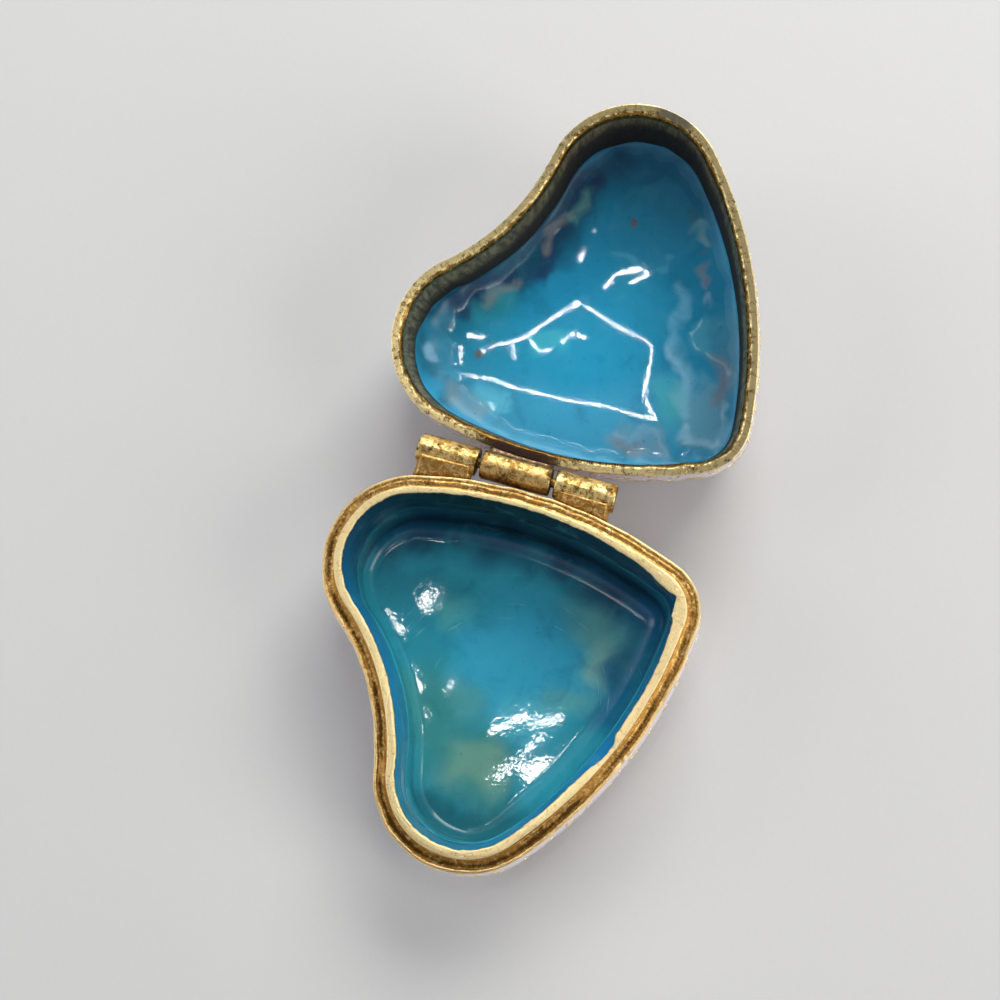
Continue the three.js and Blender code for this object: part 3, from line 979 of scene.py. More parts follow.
EAST_MIST = ((735, 330), (738, 380))
NORTH_SPOTS = ((691, 212), (694, 222))
NORTH_PALE = ((696, 228), (703, 240))
PINK_EAST = ((703, 268), (706, 284))
TEAL_EAST = ((672, 396), (668, 410))
SMUDGE = ((618, 434), (640, 446), (656, 444))
SMUDGE_CORE = ((622, 440), (640, 449))
SMUDGE_RIM = ((604, 428), (632, 430), (656, 436), (664, 450))
GREEN_MIDDLE = ((540, 345), (556, 340))
LID_STROKES = (
    (LOBE_TOP, 1.6, 4.5, "#15597a", 0.75),
    (CREST, 2.2, 5.0, "#3d90b2", 0.65),
    # Painted shade by the left lobe's wall, in this stroke and the next.
    (LEFT_SHADE, 1.4, 3.2, "#0a3b50", 0.92),
    (LEFT_RIM_SHADE, 0.6, 2.2, "#07364c", 0.8),
    (MIDDLE_BLUE, 2.0, 3.5, "#2486a6", 0.6),
    (DISC, 4.4, 0.7, "#2b7fa0", 0.45),
    (DISC_RIM, 0.05, 0.4, "#4a97b2", 0.5),
    (SMOKE_TOP, 0.4, 1.8, "#23455f", 0.6),
    (NAVY_LOW, 0.35, 1.6, "#142f55", 0.8),
    (TEAL_LOW, 0.2, 2.4, "#2a8a98", 0.6),
    (BROWN_LOW, 0.05, 1.2, "#74807c", 0.6),
    (NAVY_HIGH, 0.35, 1.8, "#173556", 0.8),
    (BROWN_HIGH, 0.04, 1.1, "#7e7e78", 0.55),
    (GREEN_HIGH, 0.1, 1.3, "#5a9a96", 0.6),
    (GREEN_MIDDLE, 0.6, 1.4, "#3fa5b2", 0.6),
    # Painted reflection on the curved glass at the left lobe, in this stroke and the next.
    (PALE_REFLECTION, 1.0, 0.7, "#6f9fbb", 0.8),
    (PALE_REFLECTION_CORE, 0.3, 0.9, "#9cbccd", 0.5),
    (PALE_LOW, 0.6, 1.5, "#5ab2cc", 0.75),
    (DUSK_LOW, 0.3, 1.5, "#6b8794", 0.6),
    (EAST_MIST, 0.8, 2.2, "#447f96", 0.65),
    (EAST_POOL, 0.7, 1.5, "#4793aa", 0.65),
    (HOOK_FILL, 1.5, 1.8, "#5d95ad", 0.75),
    (PALE_RUN, 0.02, 1.1, "#66a6c1", 0.6),
    (PALE_RUN_WIDE, 0.25, 1.2, "#7fb2c8", 0.5),
    (PALE_HOOK, 0.05, 0.7, "#8ab4c6", 0.65),
    (THIN_RUN, 0.03, 0.35, "#8fc0d0", 0.6),
    (EAST_BLOB, 0.4, 0.7, "#83a9ba", 0.7),
    (EAST_BROWN, 0.2, 1.2, "#737883", 0.6),
    (NORTH_SPOTS, 0.15, 0.7, "#34505c", 0.75),
    (NORTH_PALE, 0.1, 0.9, "#76a0a8", 0.6),
    (PINK_EAST, 0.08, 0.9, "#7f8289", 0.55),
    (TEAL_EAST, 0.4, 2.4, "#43a3a8", 0.55),
    (SMUDGE, 0.5, 1.7, "#67889b", 0.7),
    (SMUDGE_CORE, 0.15, 1.3, "#6f7881", 0.55),
    (SMUDGE_RIM, 0.03, 0.6, "#78a9c0", 0.4))
COPPER_SPECKS = (((634, 223), 0.32), ((479, 354), 0.38), ((704, 251), 0.16), ((572, 216), 0.12))


def lid_glass_colour(points):
    """Blue with navy smoke by the cleft, pale curling streaks to the right, copper specks, painted shade
    by the left lobe's wall and a painted reflection there.
    """
    colour = np.broadcast_to(linear("#1a799c"), (*points.shape[:-1], 4)).copy()
    drifted = nudged(nudged(points, 0.6, 4.0, 401), 0.15, 1.4, 411)
    colour = brushed(colour, drifted, seen_in_lid, LID_STROKES)
    near = nudged(points, 0.15, 0.6, 421)
    for at, size in COPPER_SPECKS:
        colour = brushed(colour, near, seen_in_lid, [((at,), size, 0.22, "#66564c", 0.75)])
    colour = np.clip(colour * LID_LIFT, 0, 1)
    colour[..., 3] = 1
    return colour


def lid_lining():
    """A plate of glass on the lid's inner floor, with a hollow curve up to its climbing edge."""
    along = heart(FLOOR_COLUMNS)[2]
    climb = lid_glass_climb(along)[None]
    run = 1.5 + 0.75 * climb
    back = np.array([(1.33, LID_FLOOR + 0.3), (1.3, LID_FLOOR - 0.2)])
    turn = np.linspace(0, 1, 18)[:, None] + 0.0 * climb
    front_inset = 1.27 + run * (1 - np.cos(turn * math.pi / 2)) ** 0.9
    front_z = LID_FLOOR - climb * (1 - np.sin(turn * math.pi / 2))
    edge_inset = np.full_like(climb, 1.24)
    edge_z = LID_FLOOR - climb - 0.02
    inset = np.concatenate([back[:, :1] + 0.0 * climb, edge_inset, front_inset])
    depth = np.concatenate([back[:, 1:] + 0.0 * climb, edge_z, front_z])
    wall = carried(inset, depth, FLOOR_COLUMNS)
    shares = np.linspace(0.985, 0.015, 92)
    ring = wall[-1:] * [1, 1, 0]
    floor = ring * shares[:, None, None] + [0, 0, LID_FLOOR]
    behind = to_middle(1.33, LID_FLOOR + 0.3, [0.2, 0.6, 0.97], FLOOR_COLUMNS)
    points = np.concatenate([behind, wall, floor])
    glass = (np.arange(len(points)) >= len(behind) + len(back) + 2)[:, None]
    points[..., 2] += glass * (lid_floor_level(points[..., 0], points[..., 1]) - LID_FLOOR)
    points[..., 2] += LID_RIM
    dull = soft_step((LID_RIM + LID_FLOOR - points[..., 2] - 0.015) / 0.06)
    points = swing(points[::-1])
    fields = {"tone": lid_glass_colour(points), "dull": dull[::-1]}
    return round_piece("lid_lining_glass", points, fields=fields)


base_glass = base_lining()
lid_glass = lid_lining()

# %% [markdown]
# The glass finishes take their drifts from the mesh and add what is finer than it: grain, dark
# specks, and in the base the fine circling scratches of years of pills and fingers.

# %% Glass finishes
SHINE = 0.045
SCRATCH_CENTRE = (508, 700)


def glass_finish(name, seed_shift, ripple, matte):
    """Glossy glass in the stored tones, with grain, specks and a fine ripple."""
    glass = Finish(name, Roughness=SHINE, IOR=1.42)
    place = glass.place()
    grain = glass.noise(place, 1500.0, 4.0, 0.65)
    cloud = glass.noise(place, 330.0 + seed_shift, 4.0, 0.6, 0.6)
    colour = glass.mix(glass.tint("tone"), paint("#0a3f5e"), cloud.ramp(0.5, 0.8) * 0.28)
    colour = glass.mix(colour, paint("#5fb0c8"), cloud.ramp(0.5, 0.2) * 0.16)
    colour = glass.mix(colour, paint("#0d3550"), grain.ramp(0.6, 0.78) * 0.4)
    fine = glass.noise(place, 2300.0, 1.0, 0.5) * 0.6 + glass.noise(place, 900.0, 2.0, 0.5)
    glass.drive(Normal=glass.bump(fine, ripple, 1.0), Roughness=SHINE + glass.field("dull") * matte)
    return glass, place, colour


def base_glass_finish():
    """Adds circling scratches: noise stretched round a centre, seen only in a ring about it."""
    glass, place, colour = glass_finish("enamel_teal", 0.0, 0.007, 0.2)
    centre = tuple(seen_in_base(*SCRATCH_CENTRE) * MM)
    offset = glass.node("ShaderNodeVectorMath", {"operation": "SUBTRACT"}, {0: place, 1: centre})
    x = glass.node("ShaderNodeSeparateXYZ", None, {0: offset}, output=0)
    y = glass.node("ShaderNodeSeparateXYZ", None, {0: offset}, output=1)
    radius = (x * x + y * y) ** 0.5
    angle = y.math("ARCTAN2", x)
    wobble = glass.noise(place, 120.0, 2.0, 0.5) * 0.0022
    rings = (radius + wobble) * 5200.0
    round_place = glass.node("ShaderNodeCombineXYZ", None, {0: rings, 1: angle * 1.3})
    scratch = glass.noise(round_place, 1.0, 2.0, 0.5).ramp(0.66, 0.74)
    band = radius.ramp(6.0 * MM, 9.5 * MM) * (1.0 - radius.ramp(13.0 * MM, 16.0 * MM))
    patches = glass.noise(place, 230.0, 3.0, 0.5).ramp(0.42, 0.62)
    north = angle.math("SINE").ramp(-0.35, 0.6)
    colour = glass.mix(colour, paint("#9fd0d2"), scratch * band * patches * north * 0.75)
    specks = glass.noise(place, 2300.0, 2.0, 0.5).ramp(0.775, 0.8)
    glass.drive(Base_Color=glass.mix(colour, paint("#142a2a"), specks * 0.6))
    return glass.material


def lid_glass_finish():
    """Adds sparse dark specks."""
    glass, place, colour = glass_finish("enamel_blue", 40.0, 0.0034, 0.36)
    specks = glass.noise(place, 2100.0, 2.0, 0.5).ramp(0.76, 0.79)
    glass.drive(Base_Color=glass.mix(colour, paint("#10304a"), specks * 0.6))
    return glass.material


base_glass.data.materials.append(base_glass_finish())
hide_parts("base_lining")
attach(base_glass, "base")
lid_glass.data.materials.append(lid_glass_finish())
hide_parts("lid_lining")
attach(lid_glass, "lid")

# %% [markdown]
# ## The lid shell
# The lid is one thin-walled cup. Its rim was filed flat and shows bright, its inner wall was left
# bare and has gone a dull grey-green, and it darkens to near black towards the enamel. A dark
# scorched stretch by the hinge and a silvery worn patch at the far lobe break the rim.

# %% Lid shell
def lid_side(depth, count, trim=0.0):
    """Insets and heights above the rim up the lid's side and round its shoulder."""
    bottom = LID_BAND + trim
    top = LID_HEIGHT - SHOULDER
    share = np.linspace(0, 1, count)[:-1]
    sides = np.stack([0.15 * (1 - share) - 0.6 * np.sin(math.pi * share) + depth,
                      bottom + (top - bottom) * share], axis=1)
    angle = np.linspace(0, math.pi / 2, max(4, count // 3))
    turn = np.stack([SHOULDER - (SHOULDER - depth) * np.cos(angle),
                     top + (SHOULDER - depth) * np.sin(angle)], axis=1)
    return np.concatenate([sides, turn])


def lid_dome(shares, depth=0.0):
    """Height above the rim of the lid's domed top, at a share of the way out from the middle."""
    return LID_HEIGHT - depth + 0.25 * (1 - np.asarray(shares) ** 2)


SCORCH_AT = (520, 452)
SILVER_AT = (675, 117)
HATCH_AT = (600, 466)
SCORCH = along_on_lid(*SCORCH_AT)
SILVER = along_on_lid(*SILVER_AT)
HATCH = along_on_lid(*HATCH_AT)


def lid_shell():
    """Carries the lid's section round the heart: inner wall, rim, band and hidden outside."""
    inner = soft_profile([(1.25, LID_FLOOR + 0.32, 0), (1.22, 6.0, 0.5), (LID_WALL, 0.42, 0.2),
                          (0.82, 0.02, 0.14), (0.05, 0.0, 0.12), (0.0, LID_BAND, 0.06),
                          (0.15 + COAT, LID_BAND, 0)], 0.12)
    profile = np.concatenate([inner, lid_side(COAT, 8)])
    reach, level = profile[:, :1], profile[:, 1:]
    inset, height = wide(reach), wide(level)
    rim = (level < 0.12) & (reach < 0.95)
    bevel = (level < 0.6) & (reach >= 0.8)
    wall = (reach > 1.0) & (level > 0.3) & (level < LID_FLOOR + 0.4)
    scorch = hump(apart(ALONG, SCORCH), 3.6)[None]
    uneven = 0.03 * line_wander(ALONG, 9.0, 51) + 0.01 * line_wander(ALONG, 1.2, 52)
    rough = 0.04 * line_wander(ALONG, 2.4, 53) + 0.02 * line_wander(ALONG, 0.7, 57)
    ragged = np.abs(0.02 * line_wander(ALONG, 1.6, 54) + 0.012 * line_wander(ALONG, 0.5, 55))
    inset = inset + wall * uneven[None]
    inset = inset + bevel * rough[None]
    height = height + rim * ragged[None]
    height = height + rim * 0.1 * scorch * (0.4 + np.abs(line_wander(ALONG, 0.6, 56)))[None]
    outside = to_middle(SHOULDER, 0.0, [0.8, 0.5, 0.2], height_at=lambda s: lid_dome(s, COAT))
    inside = to_middle(1.25, LID_FLOOR + 0.32, [0.2, 0.5, 0.8])
    points = np.concatenate([inside, carried(inset, height), outside])
    points[..., 2] += LID_RIM
    deep = np.clip(level / LID_FLOOR, 0, 1)
    far = hump(apart(ALONG, SILVER), 26.0)[None]
    across = np.clip(reach / 0.85, 0, 1)
    grow = ((len(inside), len(outside)), (0, 0))
    worn = rim * (0.9 - 0.4 * across ** 2 - 0.9 * scorch) + 0.12
    marks = {"hollow": wall * 0.2 + bevel * 0.3 + rim * (scorch * 1.6 + 0.26) + 0.1,
             "bare": wide(wall * np.clip(deep * 9.0 - 0.5, 0, 1)),
             # The wall darkens from about a third of its depth to near black by the enamel, starting
             # higher near the far lobe.
             "deep_dark": wall * np.clip((deep - 0.3 + 0.35 * far) / 0.55, 0, 1),
             "grey": rim * hump(apart(ALONG, SILVER), 2.6)[None],
             "hatch": bevel * hump(apart(ALONG, HATCH), 5.5)[None],
             "scorch": rim * scorch}
    fields = {name: np.pad(field, grow) for name, field in marks.items()}
    fields["worn"] = np.pad(worn, grow, constant_values=0.4)
    return round_piece("lid_shell", swing(points), fields=fields)


def lid_shell_finish():
    """Gilt rim over a bare inner wall that has tarnished grey-green."""
    gold = Finish("gilt_lid", Metallic=1.0)
    place = gold.place()
    strip = gold.strip()
    worn, hollow = gold.field("worn"), gold.field("hollow")
    bare, deep_dark, grey = gold.field("bare"), gold.field("deep_dark"), gold.field("grey")
    cloud = gold.noise(place, 480.0, 4.0, 0.6) - 0.5
    flakes = gold.noise(place, 1900.0, 5.0, 0.68, 0.5) - 0.5
    grain = gold.noise(place, 5600.0, 4.0, 0.7) - 0.5
    rubbed_wall = gold.noise(gold.scaled(strip, (16.0, 2.2, 1.0)), 1.0, 4.0, 0.6, 0.5)
    filed = gold.noise(gold.scaled(strip, (85.0, 12.0, 1.0)), 1.0, 3.0, 0.7, 0.4) - 0.5
    rubbed = (worn + flakes * 2.6 + cloud * 0.4 + filed * 0.6).ramp(0.2, 0.8)
    dirt = (hollow + cloud * 0.8 - flakes * 1.9 + grain * 0.8).ramp(0.3, 0.85)
    colour = gold.mix(paint("#9a7434"), paint("#f6de9f"), rubbed)
    colour = gold.mix(colour, paint("#38240c"), dirt * 0.92)
    scorch = (gold.field("scorch") + flakes * 1.6).ramp(0.3, 0.75)
    colour = gold.mix(colour, paint("#3a2c2a"), scorch * 0.85)
    thin_dirt = rubbed_wall.ramp(0.35, 0.7) * (1.0 - deep_dark * 0.5)
    olive = gold.mix(paint("#3a3a2c"), paint("#978a62"), thin_dirt)
    wall = (bare + cloud * 0.5).ramp(0.25, 0.75)
    colour = gold.mix(colour, olive, wall * 0.95)
    colour = gold.mix(colour, paint("#76766f"), (grey + flakes).ramp(0.35, 0.75) * 0.75)
    # Near black towards the enamel, where the stored depth field is high.
    black = (deep_dark + cloud * 0.5).ramp(0.2, 0.95)
    colour = gold.mix(colour, paint("#0c0c0a"), black * 0.93)
    ticks = gold.noise(gold.scaled(strip, (55.0, 2.0, 1.0)), 1.0, 2.0, 0.5).ramp(0.52, 0.56)
    colour = gold.mix(colour, paint("#120d09"), ticks * gold.field("hatch") * 0.9)
    relief = filed * 0.5 + flakes * 0.8 + grain * 0.4
    gold.drive(Base_Color=colour, Normal=gold.bump(relief, GOLD_RELIEF, 0.6),
               Metallic=1.0 - wall * 0.6 - black * 0.3,
               Roughness=0.33 + wall * 0.22 + dirt * 0.2 + black * 0.25 + grain * 0.1)
    return gold.material


lid_case = lid_shell()
lid_case.data.materials.append(lid_shell_finish())
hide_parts("lid_body")
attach(lid_case, "lid")

# %% [markdown]
# ## Enamel outside
# The outside hardly shows in the photograph: a pale, lilac-grey gloss under the rims. It is
# finished in the traditional way with small blossoms, leaves and cloud scrolls between gilt
# wires. The pattern is worked out as distances on the flat, and the mesh stores its colours.

# %% Pattern of blossoms and scrolls
PETALS = 5
EYE_SHARE = 0.26
FOLD_SHARE = 0.47
LEAF_BOW = 0.42
SCROLL_TURNS = 1.15


def polar(centre, radius, angle):
    """Flat points at radii and angles round a centre."""
    return np.stack([centre[0] + radius * np.cos(angle), centre[1] + radius * np.sin(angle)], axis=1)


def petal_edge(angle, size, turn):
    """A blossom's radius, size * (0.45 + 0.55 |cos|^0.55), with a petal at each crest of the cosine."""
    return size * (0.45 + 0.55 * np.abs(np.cos(PETALS / 2 * (angle - turn))) ** 0.55)


def blossom_lines(centre, size, turn):
    """A closed outline of petals round a centre, an eye, and short folds between the petals."""
    angle = np.linspace(0, 2 * math.pi, 61)
    lines = [polar(centre, petal_edge(angle, size, turn), angle),
             polar(centre, size * EYE_SHARE, angle[::4])]
    for petal in range(PETALS):
        fold = turn + (petal + 0.5) * 2 * math.pi / PETALS
        reach = np.linspace(EYE_SHARE, FOLD_SHARE, 4)[:, None] * size
        lines.append(np.array(centre) + reach * np.array([math.cos(fold), math.sin(fold)]))
    return lines


def scroll_line(centre, size, turn, hand):
    """A cloud scroll: a spiral whose radius grows with its angle to the power 0.8."""
    angle = np.linspace(0.25, SCROLL_TURNS * 2 * math.pi, 26)
    return polar(centre, size * (angle / angle[-1]) ** 0.8, hand * angle + turn)


def leaf_lines(centre, size, turn):
    """Two bowed edges and a midrib: an edge stands off by size * LEAF_BOW * sin(pi t)."""
    t = np.linspace(0, 1, 13)
    body = np.stack([t * 2 * size - size, size * LEAF_BOW * np.sin(math.pi * t)], axis=1)
    other = body * [1, -1]
    rib = np.stack([np.linspace(-size, size * 0.6, 6), np.zeros(6)], axis=1)
    return [turned(part, turn) + np.array(centre) for part in (body, other, rib)]


# Blossoms and leaves of the top, each as x, y, size and turn.
TOP_BLOSSOMS = ((2.2, 1.2, 4.3, 0.3), (-8.2, -6.6, 3.0, 0.9), (-3.4, 9.6, 3.0, 0.2),
                (9.6, 5.4, 2.1, 0.5), (-10.6, 3.2, 2.0, 0.7), (1.6, -8.2, 2.1, 0.1))
TOP_LEAVES = ((7.0, -1.6, 1.7, 2.4), (-2.8, -3.8, 1.8, 0.9), (-3.6, 4.2, 1.7, 2.2),
              (4.0, 7.4, 1.7, 0.5), (-8.3, 7.7, 1.5, 0.4), (-4.4, -11.6, 1.5, 0.8),
              (12.4, 8.6, 1.2, 0.7), (-13.0, -1.5, 1.5, 1.9), (-9.5, 11.6, 1.4, 0.2),
              (-11.3, -11.3, 1.4, 2.2))


def scroll_places(count, spacing, clear, inset, seed):
    """Places for filler scrolls inside the top, apart from each other and from the blossoms."""
    draw = np.random.default_rng(seed)
    ring = LINE - inset * OUT
    chosen = []
    for x, y in draw.uniform([-22, -23], [17, 15.5], size=(count, 2)):
        spot = np.array([x, y])
        inside = ring - spot
        turn = np.unwrap(np.arctan2(inside[:, 1], inside[:, 0]))
        if abs(turn[-1] - turn[0]) < math.pi:
            continue
        flowers = all(np.hypot(x - bx, y - by) > size + clear for bx, by, size, _ in TOP_BLOSSOMS)
        leaves = all(np.hypot(x - bx, y - by) > size + clear * 0.7
                     for bx, by, size, _ in TOP_LEAVES)
        if flowers and leaves and all(np.hypot(x - cx, y - cy) > spacing for cx, cy in chosen):
            chosen.append((x, y))
    return chosen


TOP_SCROLLS = scroll_places(count=6000, spacing=1.75, clear=0.75, inset=1.9, seed=61)
print(f"the lid's top has {len(TOP_SCROLLS)} scrolls")


# %% Colours of the cells
CELL_EDGE = 0.1


def petal_reach(points, centre, size, turn):
    """How far inside a blossom's outline each point is, and its radius as a share of the size."""
    offset = points - np.array(centre)
    radius = np.hypot(offset[..., 0], offset[..., 1])
    angle = np.arctan2(offset[..., 1], offset[..., 0])
    return petal_edge(angle, size, turn) - radius, radius / size


def lay(colour, mask, tone):
    """Colour with a tone laid where the mask is 1."""
    return colour * (1 - mask[..., None]) + tone * mask[..., None]


def blossom_colour(colour, points, centre, size, turn, outer, inner):
    """Petals shaded from an outer tone to an inner one, with a yellow eye."""
    inside, reach = petal_reach(points, centre, size, turn)
    mask = np.clip(inside / CELL_EDGE + 0.5, 0, 1)
    shade = np.clip((reach - 0.3) / 0.6, 0, 1)[..., None]
    colour = lay(colour, mask, inner * (1 - shade) + outer * shade)
    return lay(colour, np.clip((EYE_SHARE - reach) * size / CELL_EDGE + 0.5, 0, 1), EYE_YELLOW)


def leaf_colour(colour, points, centre, size, turn, tone):
    """A leaf's cell filled with green."""
    local = turned(points - np.array(centre), -turn)
    t = np.clip((local[..., 0] + size) / (2 * size), 0, 1)
    inside = size * LEAF_BOW * np.sin(math.pi * t) - np.abs(local[..., 1])
    mask = np.clip(inside / CELL_EDGE + 0.5, 0, 1) * (np.abs(local[..., 0]) < size)
    return lay(colour, mask, tone)


GROUND = linear("#d9cfd8")
ROSE = linear("#c4637f")
BLUSH = linear("#efc3cc")
VIOLET = linear("#7a6cae")
LILAC = linear("#d3c9e8")
LEAF = linear("#3f8d78")
LEAF_DARK = linear("#2b6d83")
EYE_YELLOW = linear("#e0b53c")


def top_colour(points):
    """The lid's top at flat x, y points in millimetres."""
    colour = np.broadcast_to(GROUND, (*points.shape[:-1], 4)).copy()
    colour *= (1 + 0.05 * wander(points, 4.0, 62))[..., None]
    for number, (x, y, size, turn) in enumerate(TOP_BLOSSOMS):
        outer, inner = (BLUSH, ROSE) if number % 2 == 0 else (LILAC, VIOLET)
        colour = blossom_colour(colour, points, (x, y), size, turn, outer, inner)
    for number, (x, y, size, turn) in enumerate(TOP_LEAVES):
        colour = leaf_colour(colour, points, (x, y), size, turn, LEAF if number % 2 else LEAF_DARK)
    colour[..., 3] = 1
    return colour


SIDE_MOTIFS = 14
SIDE_REPEAT = GIRTH / SIDE_MOTIFS


def side_motifs(low, high):
    """Blossoms and leaves in turn round a side, as (kind, along, height, size, turn)."""
    middle = (low + high) / 2
    motifs = []
    for number in range(SIDE_MOTIFS):
        along = number * SIDE_REPEAT
        motifs.append(("blossom", along, middle + 0.25 * (-1) ** number, 2.1, 0.3 + 0.4 * number))
        motifs.append(("leaf", along + SIDE_REPEAT * 0.5, middle - 1.5 * (-1) ** number, 1.2, 0.5))
    return motifs


def side_colour(along, height, low, high):
    """The side's colours at distances along the outline and heights."""
    colour = np.broadcast_to(GROUND, (*along.shape, 4)).copy()
    for number, (kind, place, level, size, turn) in enumerate(side_motifs(low, high)):
        points = np.stack([apart(along, place), height], axis=-1)
        if kind == "blossom":
            outer, inner = (BLUSH, ROSE) if number % 4 == 0 else (LILAC, VIOLET)
            colour = blossom_colour(colour, points, (0, level), size, turn, outer, inner)
        else:
            colour = leaf_colour(colour, points, (0, level), size, turn, LEAF)
    colour[..., 3] = 1
    return colour


# %% Coats of enamel
COAT_COLUMNS = 720
TRIM = 0.03


def coat_finish():
    """Glossy glass in the stored colours, with slight orange peel and tiny pits."""
    glass = Finish("enamel_pale", Roughness=0.1, IOR=1.5)
    place = glass.place()
    peel = glass.noise(place, 420.0, 2.0, 0.5)
    pit = glass.noise(place, 2600.0, 2.0, 0.5).ramp(0.76, 0.8)
    colour = glass.mix(glass.tint("cell"), paint("#6d6468"), pit * 0.6)
    cloud = glass.noise(place, 700.0, 4.0, 0.6).ramp(0.55, 0.8)
    colour = glass.mix(colour, paint("#b9aebb"), cloud * 0.25)
    glass.drive(Base_Color=colour, Normal=glass.bump(peel - pit * 0.5, 0.02, 0.5))
    return glass.material


COAT_GLASS = coat_finish()


def base_coat():
    """The ring of enamel round the base, with its hidden back."""
    outer = base_side(0.0, 40, TRIM)
    inner = base_side(COAT - TRIM, 4, TRIM)[::-1]
    profile = np.concatenate([outer, inner])
    points = carried(wide(profile[:, :1], COAT_COLUMNS), profile[:, 1:], COAT_COLUMNS)
    _, _, along = heart(COAT_COLUMNS)
    grid = np.broadcast_to(along[None], points.shape[:2])
    cell = side_colour(grid, points[..., 2], FOOT, LEDGE - BAND)
    return round_piece("base_coat", points, ring=True, fields={"cell": cell})


def lid_coat():
    """The enamel over the lid's sides and domed top, with its hidden back."""
    outer = lid_side(0.0, 36, TRIM)
    inner = lid_side(COAT - TRIM, 6, TRIM)[::-1]
    sides = carried(wide(outer[:, :1], COAT_COLUMNS), outer[:, 1:], COAT_COLUMNS)
    backs = carried(wide(inner[:, :1], COAT_COLUMNS), inner[:, 1:], COAT_COLUMNS)
    top = to_middle(SHOULDER, 0.0, np.linspace(0.99, 0.01, 84), COAT_COLUMNS, lid_dome)
    under = to_middle(SHOULDER, 0.0, [0.2, 0.6], COAT_COLUMNS, lambda s: lid_dome(s, COAT - TRIM))
    points = np.concatenate([under, backs, sides, top])
    _, _, along = heart(COAT_COLUMNS)
    grid = np.broadcast_to(along[None], points.shape[:2])
    cell = side_colour(grid, points[..., 2], LID_BAND, LID_HEIGHT - SHOULDER)
    high = (points[..., 2] > LID_HEIGHT - 0.4)[..., None]
    cell = np.where(high, top_colour(points[..., :2]), cell)
    points[..., 2] += LID_RIM
    return round_piece("lid_coat", swing(points), fields={"cell": cell})


coat_low = base_coat()
coat_low.data.materials.append(COAT_GLASS)
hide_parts("base_enamel")
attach(coat_low, "base")
coat_high = lid_coat()
coat_high.data.materials.append(COAT_GLASS)
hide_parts("lid_enamel")
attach(coat_high, "lid")


# %% [markdown]
# ## Gilt wires
# Each wire is a narrow ribbon bent on edge and ground level with the glass, so only its rounded
# top shows. A flat pattern line is laid on the surface and a low five-sided bar follows it.

# %% Wires laid on a surface
WIRE_WIDTH = 0.2
WIRE_PROUD = 0.035
SECTION = np.array([(-1.0, -1.0), (1.0, -1.0), (1.0, 0.4), (0.0, 1.0), (-1.0, 0.4)])


def wire_bars(lines, surface):
    """Closed bars along flat lines: each section stands across the line on the surface."""
    points, corners, starts = [], [], []
    for line in lines:
        spot, normal = surface(line)
        run = np.gradient(spot, axis=0)
        run /= np.linalg.norm(run, axis=1, keepdims=True) + 1e-9
        across = np.cross(run, normal)
        bar = (spot[:, None] + across[:, None] * SECTION[None, :, :1] * WIRE_WIDTH / 2
               + normal[:, None] * SECTION[None, :, 1:] * WIRE_PROUD)
        rows, sides = bar.shape[:2]
        quads = quad_corners(rows, sides, False, True)
        base = sum(len(p) for p in points)
        used = sum(len(c) for c in corners)
        ends = np.concatenate([np.arange(sides)[::-1], (rows - 1) * sides + np.arange(sides)])
        corners.append(np.concatenate([quads.ravel(), ends]) + base)
        begin = np.append(np.arange(len(quads)) * 4, len(quads) * 4 + np.array([0, sides]))
        starts.append(begin + used)
        points.append(bar.reshape(-1, 3))
    return np.concatenate(points), np.concatenate(corners), np.concatenate(starts)


def interpolated(table_x, table, values):
    """Rows of a table read at values between its entries."""
    return np.stack([np.interp(values, table_x, table[:, i]) for i in range(table.shape[1])], axis=1)


def side_surface(profile):
    """A function from (along, height) lines to points and normals on a side."""
    slope = np.gradient(profile[:, 0]) / np.gradient(profile[:, 1])
    around = np.append(ALONG, GIRTH)
    closed_line = np.vstack([LINE, LINE[:1]])
    closed_out = np.vstack([OUT, OUT[:1]])

    def surface(line):
        """Points and normals of one line on the side."""
        along = line[:, 0] % GIRTH
        inset = np.interp(line[:, 1], profile[:, 1], profile[:, 0])
        out = interpolated(around, closed_out, along)
        flat = interpolated(around, closed_line, along) - inset[:, None] * out
        tilt = np.interp(line[:, 1], profile[:, 1], slope)
        normal = np.column_stack([out, tilt])
        normal /= np.linalg.norm(normal, axis=1, keepdims=True)
        return np.column_stack([flat, line[:, 1]]), normal

    return surface


def top_surface(line):
    """Flat lines raised onto the domed top: the share out from the middle sets the height."""
    far = np.hypot(LINE[:, 0], LINE[:, 1]) - SHOULDER
    angle = np.arctan2(LINE[:, 1], LINE[:, 0])
    order = np.argsort(angle)
    toward = np.arctan2(line[:, 1], line[:, 0])
    edge = np.interp(toward, angle[order], far[order], period=2 * math.pi)
    share = np.clip(np.hypot(line[:, 0], line[:, 1]) / edge, 0, 1)
    return np.column_stack([line, lid_dome(share)]), np.broadcast_to(UP, (len(line), 3)).copy()


# Scrolls round one motif, each as offsets along and up, size and turn.
SIDE_SCROLLS = ((-1.5, 2.6, 0.8, 0.4), (0.1, 1.1, 0.75, 2.0), (1.6, 2.7, 0.8, 3.6),
                (-2.1, -3.0, 0.7, 1.0), (2.1, -3.0, 0.7, 4.0), (-4.4, 3.3, 0.7, 5.0),
                (-4.4, -3.3, 0.7, 2.8), (1.75, 0.9, 0.6, 5.4), (-1.75, 0.8, 0.6, 1.4))


